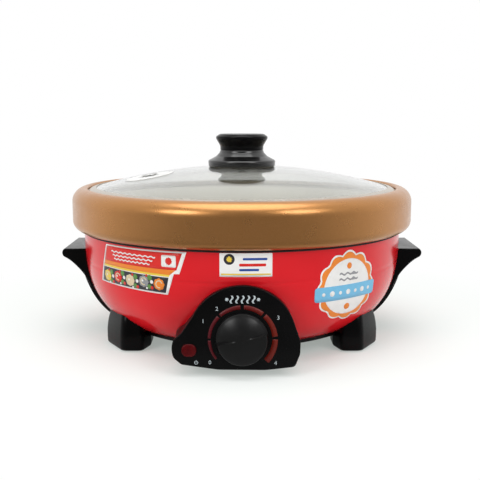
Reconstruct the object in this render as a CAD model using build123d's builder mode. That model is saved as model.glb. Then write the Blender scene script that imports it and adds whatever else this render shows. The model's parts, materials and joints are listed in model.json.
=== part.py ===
from build123d import *
from math import cos, radians, sin, sqrt
import os

# Electric hot pot: a steel bowl on a black base, a lift-out pot with a broad rim band,
# a lift-off domed glass lid and a front control with a turning dial.
# Origin on the floor under the middle of the pot, +Z up, the control faces -Y. Millimetres.

# ---- driving dimensions ----
shell_radius = 158            # outside of the steel bowl at its top
bowl_centre_radius = 71       # where the flat bottom begins to curve up
bowl_crown_height = 100       # height at which the bowl wall becomes vertical
bowl_depth = 92               # from the crown height down to the flat bottom
bowl_power = 2.57             # how square the curve between bottom and wall is
shell_top = 104.9
shell_wall = 1.2
shell_mouth_radius = 50       # opening in the bowl's bottom, closed by the tray
tray_wall = 2.8
tray_lip_radius = 119

pot_radius = 151              # outside of the pot wall
pot_wall = 2.5
pot_bottom = 38
pot_corner = 45
ledge_height = 138            # the step on which the lid rests
ledge_radius = 153.3
pot_top = 143.9

band_radius = 169
band_bottom = 107.1
band_crest = 147.4
band_sheet = 1.5
band_shoulder = 13            # radius of the rolled top edge
band_heel = 9                 # radius of the rolled bottom edge
band_lip_radius = 156.6

lid_radius = 152.5
glass_radius = 150.5
glass_apex = 167.2
glass_edge = 145.5            # top of the glass at its edge
glass_thickness = 4
rim_sheet = 0.9
rim_inner_radius = 145.6
vent_x = -91
vent_y = -23
vent_bore = 2.2

knob_base = 168
knob_flange_radius = 34
knob_seam = 183
knob_waist_radius = 21.7
knob_top = 199
knob_cap_radius = 26

handle_reach = 177            # widest point of each side handle
handle_top = 87.8
handle_half_width = 36
arm_thickness = 5
arm_half_width = 26
arm_foot = 18                 # height of the arm's lower end

foot_lift = 1                 # the rubber pads stand this far out of the feet
foot_draft = 6                # degrees
pad_x = 108
pad_y = 71
pad_radius = 8

dial_height = 33.6            # height of the dial axis
scale_height = 33             # middle of the heat scale and of the panel's round top
panel_face = 165              # front face of the control panel, towards -Y
panel_thickness = 3
dial_radius = 21.5
dial_front = 175.4            # front of the dial, towards -Y
dial_turn = 11.5              # slope of the dial's grip at rest, in degrees
lamp_x = -44.5
lamp_height = 23.5
shaft_radius = 3

plate_radius = 90
plate_bottom = 30
element_radius = 70
element_tube = 3.3
inlet_height = 40
inlet_face = 158              # rear face of the power inlet, towards +Y

running_gap = 0.05            # radial clearance of the turning shaft
seat_gap = 0.05               # between pieces formed round each other
body_gap = 0.3                # between faces of pieces that move apart
screw_radius = 2
wire_radius = 1.2

os.makedirs("parts", exist_ok=True)


def save(builder, name):
    """Label a finished piece and write it as its own STEP file."""
    builder.part.label = name
    export_step(builder.part, f"parts/{name}.step")


# ---- the bowl curve shared by the shell, the tray and the arms ----
bowl_floor = bowl_crown_height - bowl_depth
bowl_spread = shell_radius - bowl_centre_radius


def bowl_slope(turn):
    """Outward normal of the bowl's outline at a turn of 0 (top) to 90 (bottom) degrees."""
    power = 2 - 2 / bowl_power
    across = cos(radians(turn)) ** power / bowl_spread
    down = sin(radians(turn)) ** power / bowl_depth
    length = sqrt(across ** 2 + down ** 2)
    return across / length, -down / length


def bowl_point(turn, outset):
    """Point of the bowl's outline at a turn, moved out along the normal."""
    power = 2 / bowl_power
    across, down = bowl_slope(turn)
    radius = bowl_centre_radius + bowl_spread * cos(radians(turn)) ** power
    height = bowl_crown_height - bowl_depth * sin(radians(turn)) ** power
    return radius + outset * across, height + outset * down


def bowl_curve(outset):
    """The bowl's outline from the top down, moved out by outset."""
    return Spline([bowl_point(turn, outset) for turn in range(0, 91, 10)], tangents=[(0, -1), (-1, 0)])


# spaces taken by the bowl and by the tray below it, used only for cutting
with BuildPart() as bowl_space:
    with BuildSketch(Plane.XZ):
        with BuildLine():
            wall = bowl_curve(seat_gap)
            Polyline(wall @ 1, (0, bowl_floor - seat_gap), (0, shell_top), (shell_radius + seat_gap, shell_top), wall @ 0)
        make_face()
    revolve()

with BuildPart() as tray_space:
    with BuildSketch(Plane.XZ):
        with BuildLine():
            wall = bowl_curve(tray_wall + seat_gap)
            tray_floor = bowl_floor - tray_wall - seat_gap
            Polyline(wall @ 1, (0, tray_floor), (0, bowl_crown_height), wall @ 0)
        make_face()
    revolve()
    Cylinder(tray_lip_radius + seat_gap, 2 * bowl_crown_height, mode=Mode.INTERSECT)

# ======== base ========

# steel bowl with openings for the control, the power inlet and the screws of the arms and feet
bracket_screw_y = 16
bracket_screw_z = 80
foot_screw_x = 92
foot_screw_y = 66
post_circle = 60
with BuildPart() as body_shell:
    with BuildSketch(Plane.XZ):
        with BuildLine():
            outer = bowl_curve(0)
            inner = bowl_curve(-shell_wall)
            Polyline(outer @ 0, (shell_radius, shell_top), (shell_radius - shell_wall, shell_top), inner @ 0)
            Polyline(outer @ 1, (shell_mouth_radius, bowl_floor),
                     (shell_mouth_radius, bowl_floor + shell_wall), inner @ 1)
        make_face()
    revolve()
    with BuildSketch(Plane.XZ):
        with Locations((0, dial_height)):
            RectangleRounded(44, 40, 5)
    extrude(amount=200, mode=Mode.SUBTRACT)
    with BuildSketch(Plane.XZ):
        with Locations((0, inlet_height)):
            RectangleRounded(38, 22, 4)
    extrude(amount=-200, mode=Mode.SUBTRACT)
    with BuildSketch(Plane.YZ):
        with Locations((-bracket_screw_y, bracket_screw_z), (bracket_screw_y, bracket_screw_z)):
            Circle(screw_radius + 0.1)
    extrude(amount=200, both=True, mode=Mode.SUBTRACT)
    with BuildSketch(Plane.XY):
        with GridLocations(2 * foot_screw_x, 2 * foot_screw_y, 2, 2):
            Circle(screw_radius + 0.1)
        with PolarLocations(post_circle, 3, start_angle=-90):
            Circle(screw_radius + 0.1)
    extrude(amount=bowl_crown_height / 2, mode=Mode.SUBTRACT)
save(body_shell, "body_shell")

# soft black ring on the bowl's top edge, on which the band of the pot sits
with BuildPart() as rim_seal:
    with BuildSketch(Plane.XZ):
        with Locations((shell_radius - shell_wall / 2 + 0.2, (shell_top + band_bottom - body_gap) / 2)):
            Rectangle(3.2, band_bottom - body_gap - shell_top)
    revolve()
save(rim_seal, "rim_seal")

# black tray that carries the bowl, with a ring of vent slots and four screws to the bowl's posts
with BuildPart() as base_tray:
    with BuildSketch(Plane.XZ):
        with BuildLine():
            inner = bowl_curve(seat_gap)
            outer = bowl_curve(seat_gap + tray_wall)
            Line(inner @ 0, outer @ 0)
            Polyline(outer @ 1, (0, tray_floor), (0, bowl_floor - seat_gap), inner @ 1)
        make_face()
    revolve()
    Cylinder(tray_lip_radius, 2 * bowl_crown_height, mode=Mode.INTERSECT)
    with BuildSketch(Plane.XY):
        with PolarLocations(32, 12):
            SlotOverall(20, 4)
        with PolarLocations(post_circle, 3, start_angle=-90):
            Circle(screw_radius + 0.1)
        with GridLocations(2 * foot_screw_x, 2 * foot_screw_y, 2, 2):
            Circle(screw_radius + 0.1)
    extrude(amount=bowl_crown_height / 2, mode=Mode.SUBTRACT)
save(base_tray, "base_tray")

# strip that hugs the bowl from the handle down to the tray, narrower at the bottom
with BuildPart() as arm_strip:
    with BuildSketch(Plane.XZ):
        with BuildLine():
            near = bowl_curve(seat_gap)
            far = bowl_curve(arm_thickness)
            Line(near @ 0, far @ 0)
            Line(near @ 1, far @ 1)
        make_face()
    revolve()
    with BuildSketch(Plane.YZ):
        Polygon((-arm_half_width, arm_foot), (arm_half_width, arm_foot), (arm_half_width, 48),
                (handle_half_width, 70), (handle_half_width, 80), (-handle_half_width, 80),
                (-handle_half_width, 70), (-arm_half_width, 48), align=None)
    extrude(amount=200, mode=Mode.INTERSECT)

# side handle with its arm, moulded in one: a flat-topped grip that curves under into the strip
handle_edge = handle_reach - 2.5
with BuildPart() as side_bracket_right:
    with BuildSketch(Plane.XZ):
        with BuildLine():
            Polyline((150, 50), (140, 50), (140, handle_top), (handle_edge, handle_top))
            ThreePointArc((handle_edge, handle_top), (handle_reach, handle_top - 4), (174, 79))
            Spline([(174, 79), (164.5, 71.8), (156.6, 62.8), (150, 50)], tangents=[(-2, -1), (-1, -2.6)])
        make_face()
    extrude(amount=handle_half_width, both=True)
    side_edges = faces().filter_by(Axis.Y).edges()
    fillet(side_edges.filter_by(lambda e: e.center().X > 150), 1.2)
    add(bowl_space.part, mode=Mode.SUBTRACT)
    add(arm_strip.part)
    with BuildSketch(Plane.YZ):
        with Locations((-bracket_screw_y, bracket_screw_z), (bracket_screw_y, bracket_screw_z)):
            Circle(screw_radius)
    extrude(amount=167.5, mode=Mode.SUBTRACT)
save(side_bracket_right, "side_bracket_right")

with BuildPart() as side_bracket_left:
    mirror(side_bracket_right.part, about=Plane.YZ)
save(side_bracket_left, "side_bracket_left")

# screws from inside the bowl into the handles
screw_seat = 153.7            # face of the screw heads, inside the bowl's wall
screw_head = 2
with BuildPart() as bracket_screws:
    with BuildSketch(Plane.YZ.offset(screw_seat - screw_head)):
        with Locations((-bracket_screw_y, bracket_screw_z), (bracket_screw_y, bracket_screw_z)):
            Circle(4)
    extrude(amount=screw_head)
    with BuildSketch(Plane.YZ.offset(screw_seat)):
        with Locations((-bracket_screw_y, bracket_screw_z), (bracket_screw_y, bracket_screw_z)):
            Circle(screw_radius)
    extrude(amount=167 - screw_seat)
    mirror(about=Plane.YZ)
save(bracket_screws, "bracket_screws")

# four faceted feet, each standing on a rubber pad and held from inside the bowl by one screw
foot_outline = [(92, -94), (111, -94), (130, -62), (130, -50), (118, -44), (96, -44), (86, -54), (86, -76)]
foot_depth = 36
with BuildPart() as foot_front_right:
    with BuildSketch(Plane.XY.offset(foot_lift)):
        Polygon(*foot_outline, align=None)
    extrude(amount=foot_depth, taper=foot_draft)
    add(bowl_space.part, mode=Mode.SUBTRACT)
    add(tray_space.part, mode=Mode.SUBTRACT)
    with Locations((pad_x, -pad_y, foot_lift)):
        Cylinder(pad_radius + seat_gap, 2, align=(Align.CENTER, Align.CENTER, Align.MIN), mode=Mode.SUBTRACT)
    with Locations((foot_screw_x, -foot_screw_y, foot_lift + 4)):
        Cylinder(screw_radius, 20, align=(Align.CENTER, Align.CENTER, Align.MIN), mode=Mode.SUBTRACT)
save(foot_front_right, "foot_front_right")

with BuildPart() as foot_front_left:
    mirror(foot_front_right.part, about=Plane.YZ)
save(foot_front_left, "foot_front_left")

with BuildPart() as foot_rear_right:
    mirror(foot_front_right.part, about=Plane.XZ)
save(foot_rear_right, "foot_rear_right")

with BuildPart() as foot_rear_left:
    mirror(foot_front_left.part, about=Plane.XZ)
save(foot_rear_left, "foot_rear_left")

with BuildPart() as foot_pads:
    with GridLocations(2 * pad_x, 2 * pad_y, 2, 2):
        Cylinder(pad_radius, foot_lift + 2, align=(Align.CENTER, Align.CENTER, Align.MIN))
    fillet(faces().filter_by(Axis.Z).sort_by(Axis.Z)[:4].edges(), 0.5)
save(foot_pads, "foot_pads")

foot_screw_seat = 17.2
with BuildPart() as foot_screws:
    with BuildSketch(Plane.XY.offset(foot_lift + 4.5)):
        with GridLocations(2 * foot_screw_x, 2 * foot_screw_y, 2, 2):
            Circle(screw_radius)
    extrude(amount=foot_screw_seat - foot_lift - 4.5)
    with BuildSketch(Plane.XY.offset(foot_screw_seat)):
        with GridLocations(2 * foot_screw_x, 2 * foot_screw_y, 2, 2):
            Circle(4)
    extrude(amount=2.4)
save(foot_screws, "foot_screws")

# three posts that carry the hot plate, screwed through the tray
post_foot = bowl_floor + shell_wall + seat_gap
with BuildPart() as plate_posts:
    with BuildSketch(Plane.XY.offset(post_foot)):
        with PolarLocations(post_circle, 3, start_angle=-90):
            Circle(4)
    extrude(amount=plate_bottom - post_foot)
    with BuildSketch(Plane.XY.offset(post_foot)):
        with PolarLocations(post_circle, 3, start_angle=-90):
            Circle(screw_radius)
    extrude(amount=8, mode=Mode.SUBTRACT)
save(plate_posts, "plate_posts")

with BuildPart() as tray_screws:
    with BuildSketch(Plane.XY.offset(tray_floor - 2.2)):
        with PolarLocations(post_circle, 3, start_angle=-90):
            Circle(4)
    extrude(amount=2.2)
    with BuildSketch(Plane.XY.offset(tray_floor)):
        with PolarLocations(post_circle, 3, start_angle=-90):
            Circle(screw_radius)
    extrude(amount=post_foot + 7.5 - tray_floor)
save(tray_screws, "tray_screws")

# cast hot plate with the sheathed heating element let into its underside
element_gap = 25              # half of the gap between the element's ends, in degrees
element_front = -40           # direction of the middle of that gap
with BuildPart() as heating_plate:
    with BuildSketch(Plane.XY.offset(plate_bottom)):
        Circle(plate_radius)
    extrude(amount=pot_bottom - body_gap - plate_bottom)
    chamfer(faces().sort_by(Axis.Z)[-1].edges(), 1)
    with BuildSketch(Plane.XZ):
        with Locations((element_radius, plate_bottom)):
            Circle(element_tube)
    revolve(mode=Mode.SUBTRACT)
save(heating_plate, "heating_plate")

element_ends = [(element_radius * cos(radians(turn)), element_radius * sin(radians(turn)))
                for turn in (element_front - element_gap, element_front + element_gap)]
element_end_height = 17
with BuildPart() as heating_element:
    with BuildSketch(Plane.XZ.rotated((0, 0, element_front + element_gap))):
        with Locations((element_radius, plate_bottom)):
            Circle(element_tube)
    revolve(revolution_arc=360 - 2 * element_gap)
    with BuildSketch(Plane.XY.offset(element_end_height)):
        with Locations(element_ends):
            Circle(1.6)
    extrude(amount=plate_bottom - element_end_height)
save(heating_element, "heating_element")

# shallow steel dish that throws the heat back up, with holes for the posts and element ends
reflector_height = 19
reflector_radius = 104
with BuildPart() as reflector_pan:
    with BuildSketch(Plane.XZ):
        Polygon((14, reflector_height), (reflector_radius, reflector_height),
                (reflector_radius + 3, reflector_height + 4), (reflector_radius + 2.2, reflector_height + 4.4),
                (reflector_radius - 0.4, reflector_height + 0.8), (14, reflector_height + 0.8), align=None)
    revolve()
    with BuildSketch(Plane.XY):
        with PolarLocations(post_circle, 3, start_angle=-90):
            Circle(4)
        with Locations(element_ends):
            Circle(4)
    extrude(amount=bowl_crown_height / 2, mode=Mode.SUBTRACT)
save(reflector_pan, "reflector_pan")

with BuildPart() as thermal_fuse:
    with BuildSketch(Plane.YZ.offset(-9)):
        with Locations((-36, plate_bottom - 2.2)):
            Circle(2.2)
    extrude(amount=18)
save(thermal_fuse, "thermal_fuse")

# ceramic terminal block on the tray: wires enter it from the back and the front
block_y = 24
block_half = 7
wire_level = 12.8
wire_pitch = 11
with BuildPart() as terminal_block:
    with Locations((0, block_y, bowl_floor - seat_gap)):
        Box(34, 2 * block_half, 9, align=(Align.CENTER, Align.CENTER, Align.MIN))
    fillet(edges().filter_by(Axis.Z), 2)
    with BuildSketch(Plane.XZ):
        with Locations((-wire_pitch, wire_level), (0, wire_level), (wire_pitch, wire_level)):
            Circle(wire_radius)
    extrude(amount=100, both=True, mode=Mode.SUBTRACT)
save(terminal_block, "terminal_block")


# ======== control ========

lobe_x = -59.3                # outermost point of the panel's lamp corner
crown_radius = 45.6           # the panel's round top follows the heat scale
crown_left = 155
crown_right = 18


def crown_point(angle):
    """Point of the panel's round top at an angle about the dial."""
    return crown_radius * cos(radians(angle)), scale_height + crown_radius * sin(radians(angle))


rounded_corners = [((44.4, 9), 4.5), ((48.6, 20), 10), ((48.9, 31), 14), (crown_point(crown_right), 14),
                   ((-51, 38), 9), ((-51, 11), 6), (crown_point(crown_left), 9)]


def panel_outline(inset):
    """Outline of the control panel: round over the dial, with a lobe for the lamp at its left."""
    with BuildSketch() as outline:
        with BuildLine():
            ThreePointArc(crown_point(crown_left), crown_point(90), crown_point(crown_right))
            Polyline(crown_point(crown_right), (48.9, 31), (48.6, 20), (44.4, 9))
            ThreePointArc((44.4, 9), (0, 5.6), (-51, 11))
            ThreePointArc((-51, 11), (lobe_x, 24.5), (-51, 38))
            Line((-51, 38), crown_point(crown_left))
        make_face()
        for corner, radius in rounded_corners:
            fillet(outline.vertices().sort_by_distance(corner)[0], radius)
        if inset:
            offset(amount=-inset)
    return outline.sketch


# moulded box between the bowl and the panel
housing_back = 124
housing_wall = 2.4
with BuildPart() as control_housing:
    with BuildSketch(Plane.XZ.offset(housing_back)):
        add(panel_outline(0.8))
    extrude(amount=panel_face - panel_thickness - housing_back)
    with BuildSketch(Plane.XZ.offset(housing_back + housing_wall)):
        add(panel_outline(0.8 + housing_wall))
    extrude(amount=panel_face, mode=Mode.SUBTRACT)
    add(bowl_space.part, mode=Mode.SUBTRACT)
    add(tray_space.part, mode=Mode.SUBTRACT)
save(control_housing, "control_housing")

# front panel with bevelled edge, openings for the dial's bush and the lamp, and two screw bosses
boss_x = 21
boss_depth = 4
bush_radius = 4.9
scale_depth = 0.4
scale_radius = 27.4
scale_spans = [(218, 182), (178, 136), (132, 93), (87, 52), (47, 5), (0, -43)]


def scale_width(angle):
    """The scale's arcs grow wider from the off end to the hot end."""
    return 2 + 3.2 * (218 - angle) / 261


def scale_point(angle, side):
    """Point on the outer (1) or inner (-1) edge of the scale, in the panel's plane."""
    radius = scale_radius + side * scale_width(angle) / 2
    return radius * cos(radians(angle)), scale_height + radius * sin(radians(angle))


def scale_sketch():
    """The six arcs of the heat scale round the dial."""
    with BuildSketch() as arcs:
        for start, end in scale_spans:
            middle = (start + end) / 2
            with BuildLine():
                ThreePointArc(scale_point(start, 1), scale_point(middle, 1), scale_point(end, 1))
                ThreePointArc(scale_point(start, -1), scale_point(middle, -1), scale_point(end, -1))
                Line(scale_point(start, 1), scale_point(start, -1))
                Line(scale_point(end, 1), scale_point(end, -1))
            make_face()
    return arcs.sketch


panel_back = panel_face - panel_thickness
with BuildPart() as control_panel:
    with BuildSketch(Plane.XZ.offset(panel_back)):
        add(panel_outline(0))
    extrude(amount=panel_thickness)
    chamfer(faces().sort_by(Axis.Y)[0].edges(), 0.9)
    with BuildSketch(Plane.XZ.offset(panel_back)):
        with Locations((-boss_x, dial_height), (boss_x, dial_height)):
            Circle(3.5)
    extrude(amount=-boss_depth)
    with BuildSketch(Plane.XZ.offset(panel_back - boss_depth)):
        with Locations((-boss_x, dial_height), (boss_x, dial_height)):
            Circle(1.5)
    extrude(amount=boss_depth + 1.5, mode=Mode.SUBTRACT)
    with BuildSketch(Plane.XZ.offset(panel_back)):
        with Locations((0, dial_height)):
            Circle(bush_radius + 0.2)
        with Locations((lamp_x, lamp_height)):
            RectangleRounded(12.8, 11, 5.2)
    extrude(amount=panel_thickness, mode=Mode.SUBTRACT)
    with BuildSketch(Plane.XZ.offset(panel_face - scale_depth)):
        add(scale_sketch())
    extrude(amount=scale_depth, mode=Mode.SUBTRACT)
save(control_panel, "control_panel")

with BuildPart() as scale_arcs:
    with BuildSketch(Plane.XZ.offset(panel_face - scale_depth)):
        add(scale_sketch())
    extrude(amount=scale_depth)
save(scale_arcs, "scale_arcs")

# red lamp window with the neon lamp behind it
with BuildPart() as lamp_lens:
    with BuildSketch(Plane.XZ.offset(panel_back)):
        with Locations((lamp_x, lamp_height)):
            RectangleRounded(12.7, 10.9, 5.15)
    extrude(amount=panel_thickness + 1.3)
    fillet(faces().sort_by(Axis.Y)[0].edges(), 1.2)
    with BuildSketch(Plane.XZ.offset(panel_back - 1.5)):
        with Locations((lamp_x, lamp_height)):
            RectangleRounded(15.2, 13.4, 6.4)
    extrude(amount=1.5)
save(lamp_lens, "lamp_lens")

lamp_back = -(panel_back - 1.5 - 14)
with BuildPart() as neon_lamp:
    with BuildSketch(Plane.XZ.offset(-lamp_back)):
        with Locations((lamp_x, lamp_height)):
            Circle(3)
    extrude(amount=14)
save(neon_lamp, "neon_lamp")

# thermostat on its steel bracket, with the bush in which the dial's shaft turns
bracket_sheet = 1.5
bracket_front = panel_back - boss_depth
thermostat_front = bracket_front - bracket_sheet
thermostat_depth = 15
shaft_end = thermostat_front - 7
with BuildPart() as thermostat_bracket:
    with BuildSketch(Plane.XZ.offset(thermostat_front)):
        with Locations((0, dial_height)):
            RectangleRounded(52, 18, 3)
            Circle(bush_radius, mode=Mode.SUBTRACT)
        with Locations((-boss_x, dial_height), (boss_x, dial_height)):
            Circle(1.6, mode=Mode.SUBTRACT)
    extrude(amount=bracket_sheet)
save(thermostat_bracket, "thermostat_bracket")

with BuildPart() as panel_screws:
    with BuildSketch(Plane.XZ.offset(thermostat_front - 2)):
        with Locations((-boss_x, dial_height), (boss_x, dial_height)):
            Circle(2.8)
    extrude(amount=2)
    with BuildSketch(Plane.XZ.offset(thermostat_front)):
        with Locations((-boss_x, dial_height), (boss_x, dial_height)):
            Circle(1.5)
    extrude(amount=bracket_sheet + boss_depth + 1)
save(panel_screws, "panel_screws")

with BuildPart() as thermostat:
    with BuildSketch(Plane.XZ.offset(thermostat_front - thermostat_depth)):
        with Locations((0, dial_height)):
            RectangleRounded(30, 30, 3)
    extrude(amount=thermostat_depth)
    with BuildSketch(Plane.XZ.offset(thermostat_front)):
        with Locations((0, dial_height)):
            Circle(bush_radius)
    extrude(amount=panel_face - 1 - thermostat_front)
    with BuildSketch(Plane.XZ.offset(shaft_end - 0.5)):
        with Locations((0, dial_height)):
            Circle(shaft_radius + running_gap)
    extrude(amount=panel_face, mode=Mode.SUBTRACT)
save(thermostat, "thermostat")

# power inlet at the back with three pins
inlet_inside = 140
pin_places = [(-7, inlet_height - 2), (7, inlet_height - 2), (0, inlet_height + 3)]
with BuildPart() as power_inlet:
    with BuildSketch(Plane.XZ.offset(-bowl_crown_height)):
        with Locations((0, inlet_height)):
            RectangleRounded(46, 30, 6)
    extrude(amount=-(inlet_face - bowl_crown_height))
    fillet(faces().sort_by(Axis.Y)[-1].edges(), 1)
    add(bowl_space.part, mode=Mode.SUBTRACT)
    with BuildSketch(Plane.XZ.offset(-inlet_inside)):
        with Locations((0, inlet_height)):
            RectangleRounded(37.8, 21.8, 4)
    extrude(amount=-12)
    with BuildSketch(Plane.XZ.offset(-inlet_face)):
        with Locations((0, inlet_height)):
            RectangleRounded(30, 16, 3)
    extrude(amount=inlet_face - inlet_inside - 2, mode=Mode.SUBTRACT)
    with BuildSketch(Plane.XZ):
        with Locations(pin_places):
            Rectangle(2, 4)
    extrude(amount=-inlet_face, mode=Mode.SUBTRACT)
save(power_inlet, "power_inlet")

pin_end = 137
pin_tip = 151
with BuildPart() as inlet_pins:
    with BuildSketch(Plane.XZ.offset(-pin_end)):
        with Locations(pin_places):
            Rectangle(2, 4)
    extrude(amount=pin_end - pin_tip)
save(inlet_pins, "inlet_pins")


# ---- wiring inside the base: runs joined by tangent arcs ----
def wire(points, bend, radius):
    """One round wire along a route."""
    with BuildPart() as strand:
        with BuildLine() as route:
            FilletPolyline(*points, radius=bend)
        with BuildSketch(Plane(origin=route.line @ 0, z_dir=route.line % 0)):
            Circle(radius)
        sweep(path=route.line)
    return strand.part


# from the inlet's pins down the bowl and under the reflector to the terminal block
with BuildPart() as inlet_wires:
    for (pin_x, pin_z), block_x in zip(pin_places, (-wire_pitch, wire_pitch, 0)):
        add(wire([(pin_x, pin_end, pin_z), (pin_x, pin_end - 6, pin_z), (pin_x, 124, 22), (block_x, 98, 15.4),
                  (block_x, 66, wire_level), (block_x, block_y + 3, wire_level)], 3, wire_radius))
save(inlet_wires, "inlet_wires")

thermostat_back = thermostat_depth - thermostat_front
element_end_x, element_end_y = element_ends[0]
with BuildPart() as thermostat_wires:
    add(wire([(-wire_pitch, block_y - 3, wire_level), (-wire_pitch, -66, wire_level), (-9, -98, 15.4), (-9, -124, 22),
              (-9, thermostat_back + 6, 28), (-9, thermostat_back, 28)], 3, wire_radius))
    add(wire([(9, thermostat_back, 28), (9, thermostat_back + 6, 28), (9, -124, 22), (20, -98, 15.4),
              (element_end_x, element_end_y - 8, wire_level), (element_end_x, element_end_y, wire_level),
              (element_end_x, element_end_y, element_end_height)], 1.8, wire_radius))
save(thermostat_wires, "thermostat_wires")

element_end_x, element_end_y = element_ends[1]
with BuildPart() as return_wire:
    add(wire([(wire_pitch, block_y - 3, wire_level), (wire_pitch, block_y - 16, wire_level),
              (element_end_x - 12, element_end_y, wire_level), (element_end_x, element_end_y, wire_level),
              (element_end_x, element_end_y, element_end_height)], 1.8, wire_radius))
save(return_wire, "return_wire")

lamp_wire_radius = 0.7
with BuildPart() as lamp_wires:
    for rise in (-1.5, 1.5):
        add(wire([(-15, -150, lamp_height + 5 + rise), (-24, -150, lamp_height + 5 + rise),
                  (lamp_x, -140, lamp_height + rise), (lamp_x, lamp_back, lamp_height + rise)], 2.5, lamp_wire_radius))
save(lamp_wires, "lamp_wires")

# liquid-filled feeler of the thermostat, held under the hot plate
bulb_radius = 2.2
bulb_outer = 86
bulb_inner = 50
bulb_level = plate_bottom - bulb_radius
gap_x = cos(radians(element_front))
gap_y = sin(radians(element_front))
with BuildPart() as thermostat_bulb:
    add(wire([(9, thermostat_back, 35), (9, thermostat_back + 8, 35), (32, -112, bulb_level), (66, -84, bulb_level - 0.5),
              (94 * gap_x, 94 * gap_y, bulb_level), (bulb_outer * gap_x, bulb_outer * gap_y, bulb_level)], 3, 0.8))
    with BuildSketch(Plane(origin=(bulb_outer * gap_x, bulb_outer * gap_y, bulb_level), z_dir=(-gap_x, -gap_y, 0))):
        Circle(bulb_radius)
    extrude(amount=bulb_outer - bulb_inner)
save(thermostat_bulb, "thermostat_bulb")


# ======== dial ========

hub_radius = 6
grip_offset = 1               # the grip's upper wall stands this far above the axis
grip_slope = 0.3              # fall of the cone above the grip, from its point to the dial's edge
cone_reach = 40
dial_recess = 2               # hollow in the dial's back
dial_back = panel_face + 0.6
grip_way = (cos(radians(dial_turn)), 0, sin(radians(dial_turn)))
grip_plane = Plane(origin=(0, -dial_front, dial_height), x_dir=grip_way, z_dir=(0, -1, 0))
with BuildPart() as dial_knob:
    with BuildSketch(Plane.XZ.offset(dial_back)):
        with Locations((0, dial_height)):
            Circle(dial_radius + 0.8)
    extrude(amount=dial_front - dial_back, taper=9)
    fillet(faces().sort_by(Axis.Y)[0].edges(), 1.6)
    with BuildSketch(Plane(grip_plane.origin, x_dir=grip_plane.x_dir, z_dir=grip_plane.y_dir).offset(grip_offset)):
        Polygon((0, 0), (cone_reach, cone_reach * grip_slope), (cone_reach, -6), (0, -6), align=None)
    revolve(axis=Axis(grip_plane.origin + grip_plane.y_dir * grip_offset, grip_plane.z_dir),
            revolution_arc=180, mode=Mode.SUBTRACT)
    with BuildSketch(Plane.XZ.offset(dial_back)):
        with Locations((0, dial_height)):
            Circle(dial_radius - 1.5)
            Circle(hub_radius, mode=Mode.SUBTRACT)
    extrude(amount=dial_recess, mode=Mode.SUBTRACT)
    with BuildSketch(Plane.XZ.offset(dial_back)):
        with Locations((0, dial_height)):
            Circle(shaft_radius)
    extrude(amount=5, mode=Mode.SUBTRACT)
save(dial_knob, "dial_knob")

with BuildPart() as thermostat_shaft:
    with BuildSketch(Plane.XZ.offset(shaft_end)):
        with Locations((0, dial_height)):
            Circle(shaft_radius)
    extrude(amount=dial_back + 5 - shaft_end)
save(thermostat_shaft, "thermostat_shaft")


# ======== pot ========

# pressed aluminium pot with a step under its rim for the lid
corner_x = pot_radius - pot_corner
corner_z = pot_bottom + pot_corner
inner_corner = pot_corner - pot_wall
diagonal = sqrt(0.5)
with BuildPart() as inner_pot:
    with BuildSketch(Plane.XZ):
        with BuildLine():
            Line((0, pot_bottom), (corner_x, pot_bottom))
            ThreePointArc((corner_x, pot_bottom),
                          (corner_x + pot_corner * diagonal, corner_z - pot_corner * diagonal), (pot_radius, corner_z))
            Polyline((pot_radius, corner_z), (pot_radius, ledge_height - 4), (ledge_radius + 1.8, ledge_height - 1.5),
                     (ledge_radius + 1.8, pot_top), (ledge_radius, pot_top), (ledge_radius, ledge_height),
                     (pot_radius - pot_wall, ledge_height - 1.5), (pot_radius - pot_wall, corner_z))
            ThreePointArc((pot_radius - pot_wall, corner_z),
                          (corner_x + inner_corner * diagonal, corner_z - inner_corner * diagonal),
                          (corner_x, pot_bottom + pot_wall))
            Polyline((corner_x, pot_bottom + pot_wall), (0, pot_bottom + pot_wall), (0, pot_bottom))
        make_face()
    revolve()
save(inner_pot, "inner_pot")

# broad pressed band round the rim: rolled over at the top, turned in at the bottom
crest_radius = band_radius - band_shoulder
crest_drop = band_crest - band_shoulder
lead_in = 2.2                 # radius of the small roll on the band's inner edge


def band_curve(inset):
    """The band's section from its inner top edge, over the crest and down to its lip."""
    shoulder = band_shoulder - inset
    heel = band_heel - inset
    heel_x = band_radius - band_heel
    heel_z = band_bottom + band_heel
    crest = band_crest - inset
    with BuildLine() as curve:
        ThreePointArc((crest_radius - lead_in, crest - lead_in * 0.9),
                      (crest_radius - lead_in * 0.75, crest - lead_in * 0.28), (crest_radius, crest))
        ThreePointArc((crest_radius, crest), (crest_radius + shoulder * diagonal, crest_drop + shoulder * diagonal),
                      (crest_radius + shoulder, crest_drop))
        Line((crest_radius + shoulder, crest_drop), (heel_x + heel, heel_z))
        ThreePointArc((heel_x + heel, heel_z), (heel_x + heel * diagonal, heel_z - heel * diagonal),
                      (heel_x, heel_z - heel))
        Line((heel_x, heel_z - heel), (band_lip_radius, heel_z - heel))
    return curve.line


with BuildPart() as rim_band:
    with BuildSketch(Plane.XZ):
        with BuildLine():
            outside = add(band_curve(0))
            inside = add(band_curve(band_sheet))
            Line((crest_radius - lead_in, band_crest - lead_in * 0.9),
                 (crest_radius - lead_in, band_crest - band_sheet - lead_in * 0.9))
            Line((band_lip_radius, band_bottom), (band_lip_radius, band_bottom + band_sheet))
        make_face()
    revolve()
save(rim_band, "rim_band")


# ======== lid ========

glass_rise = glass_apex - glass_edge
glass_sphere = (glass_radius ** 2 + glass_rise ** 2) / (2 * glass_rise)


def glass_height(radius):
    """Height of the glass's top surface at a distance from the axis."""
    return glass_apex - glass_sphere + sqrt(glass_sphere ** 2 - radius ** 2)


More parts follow.
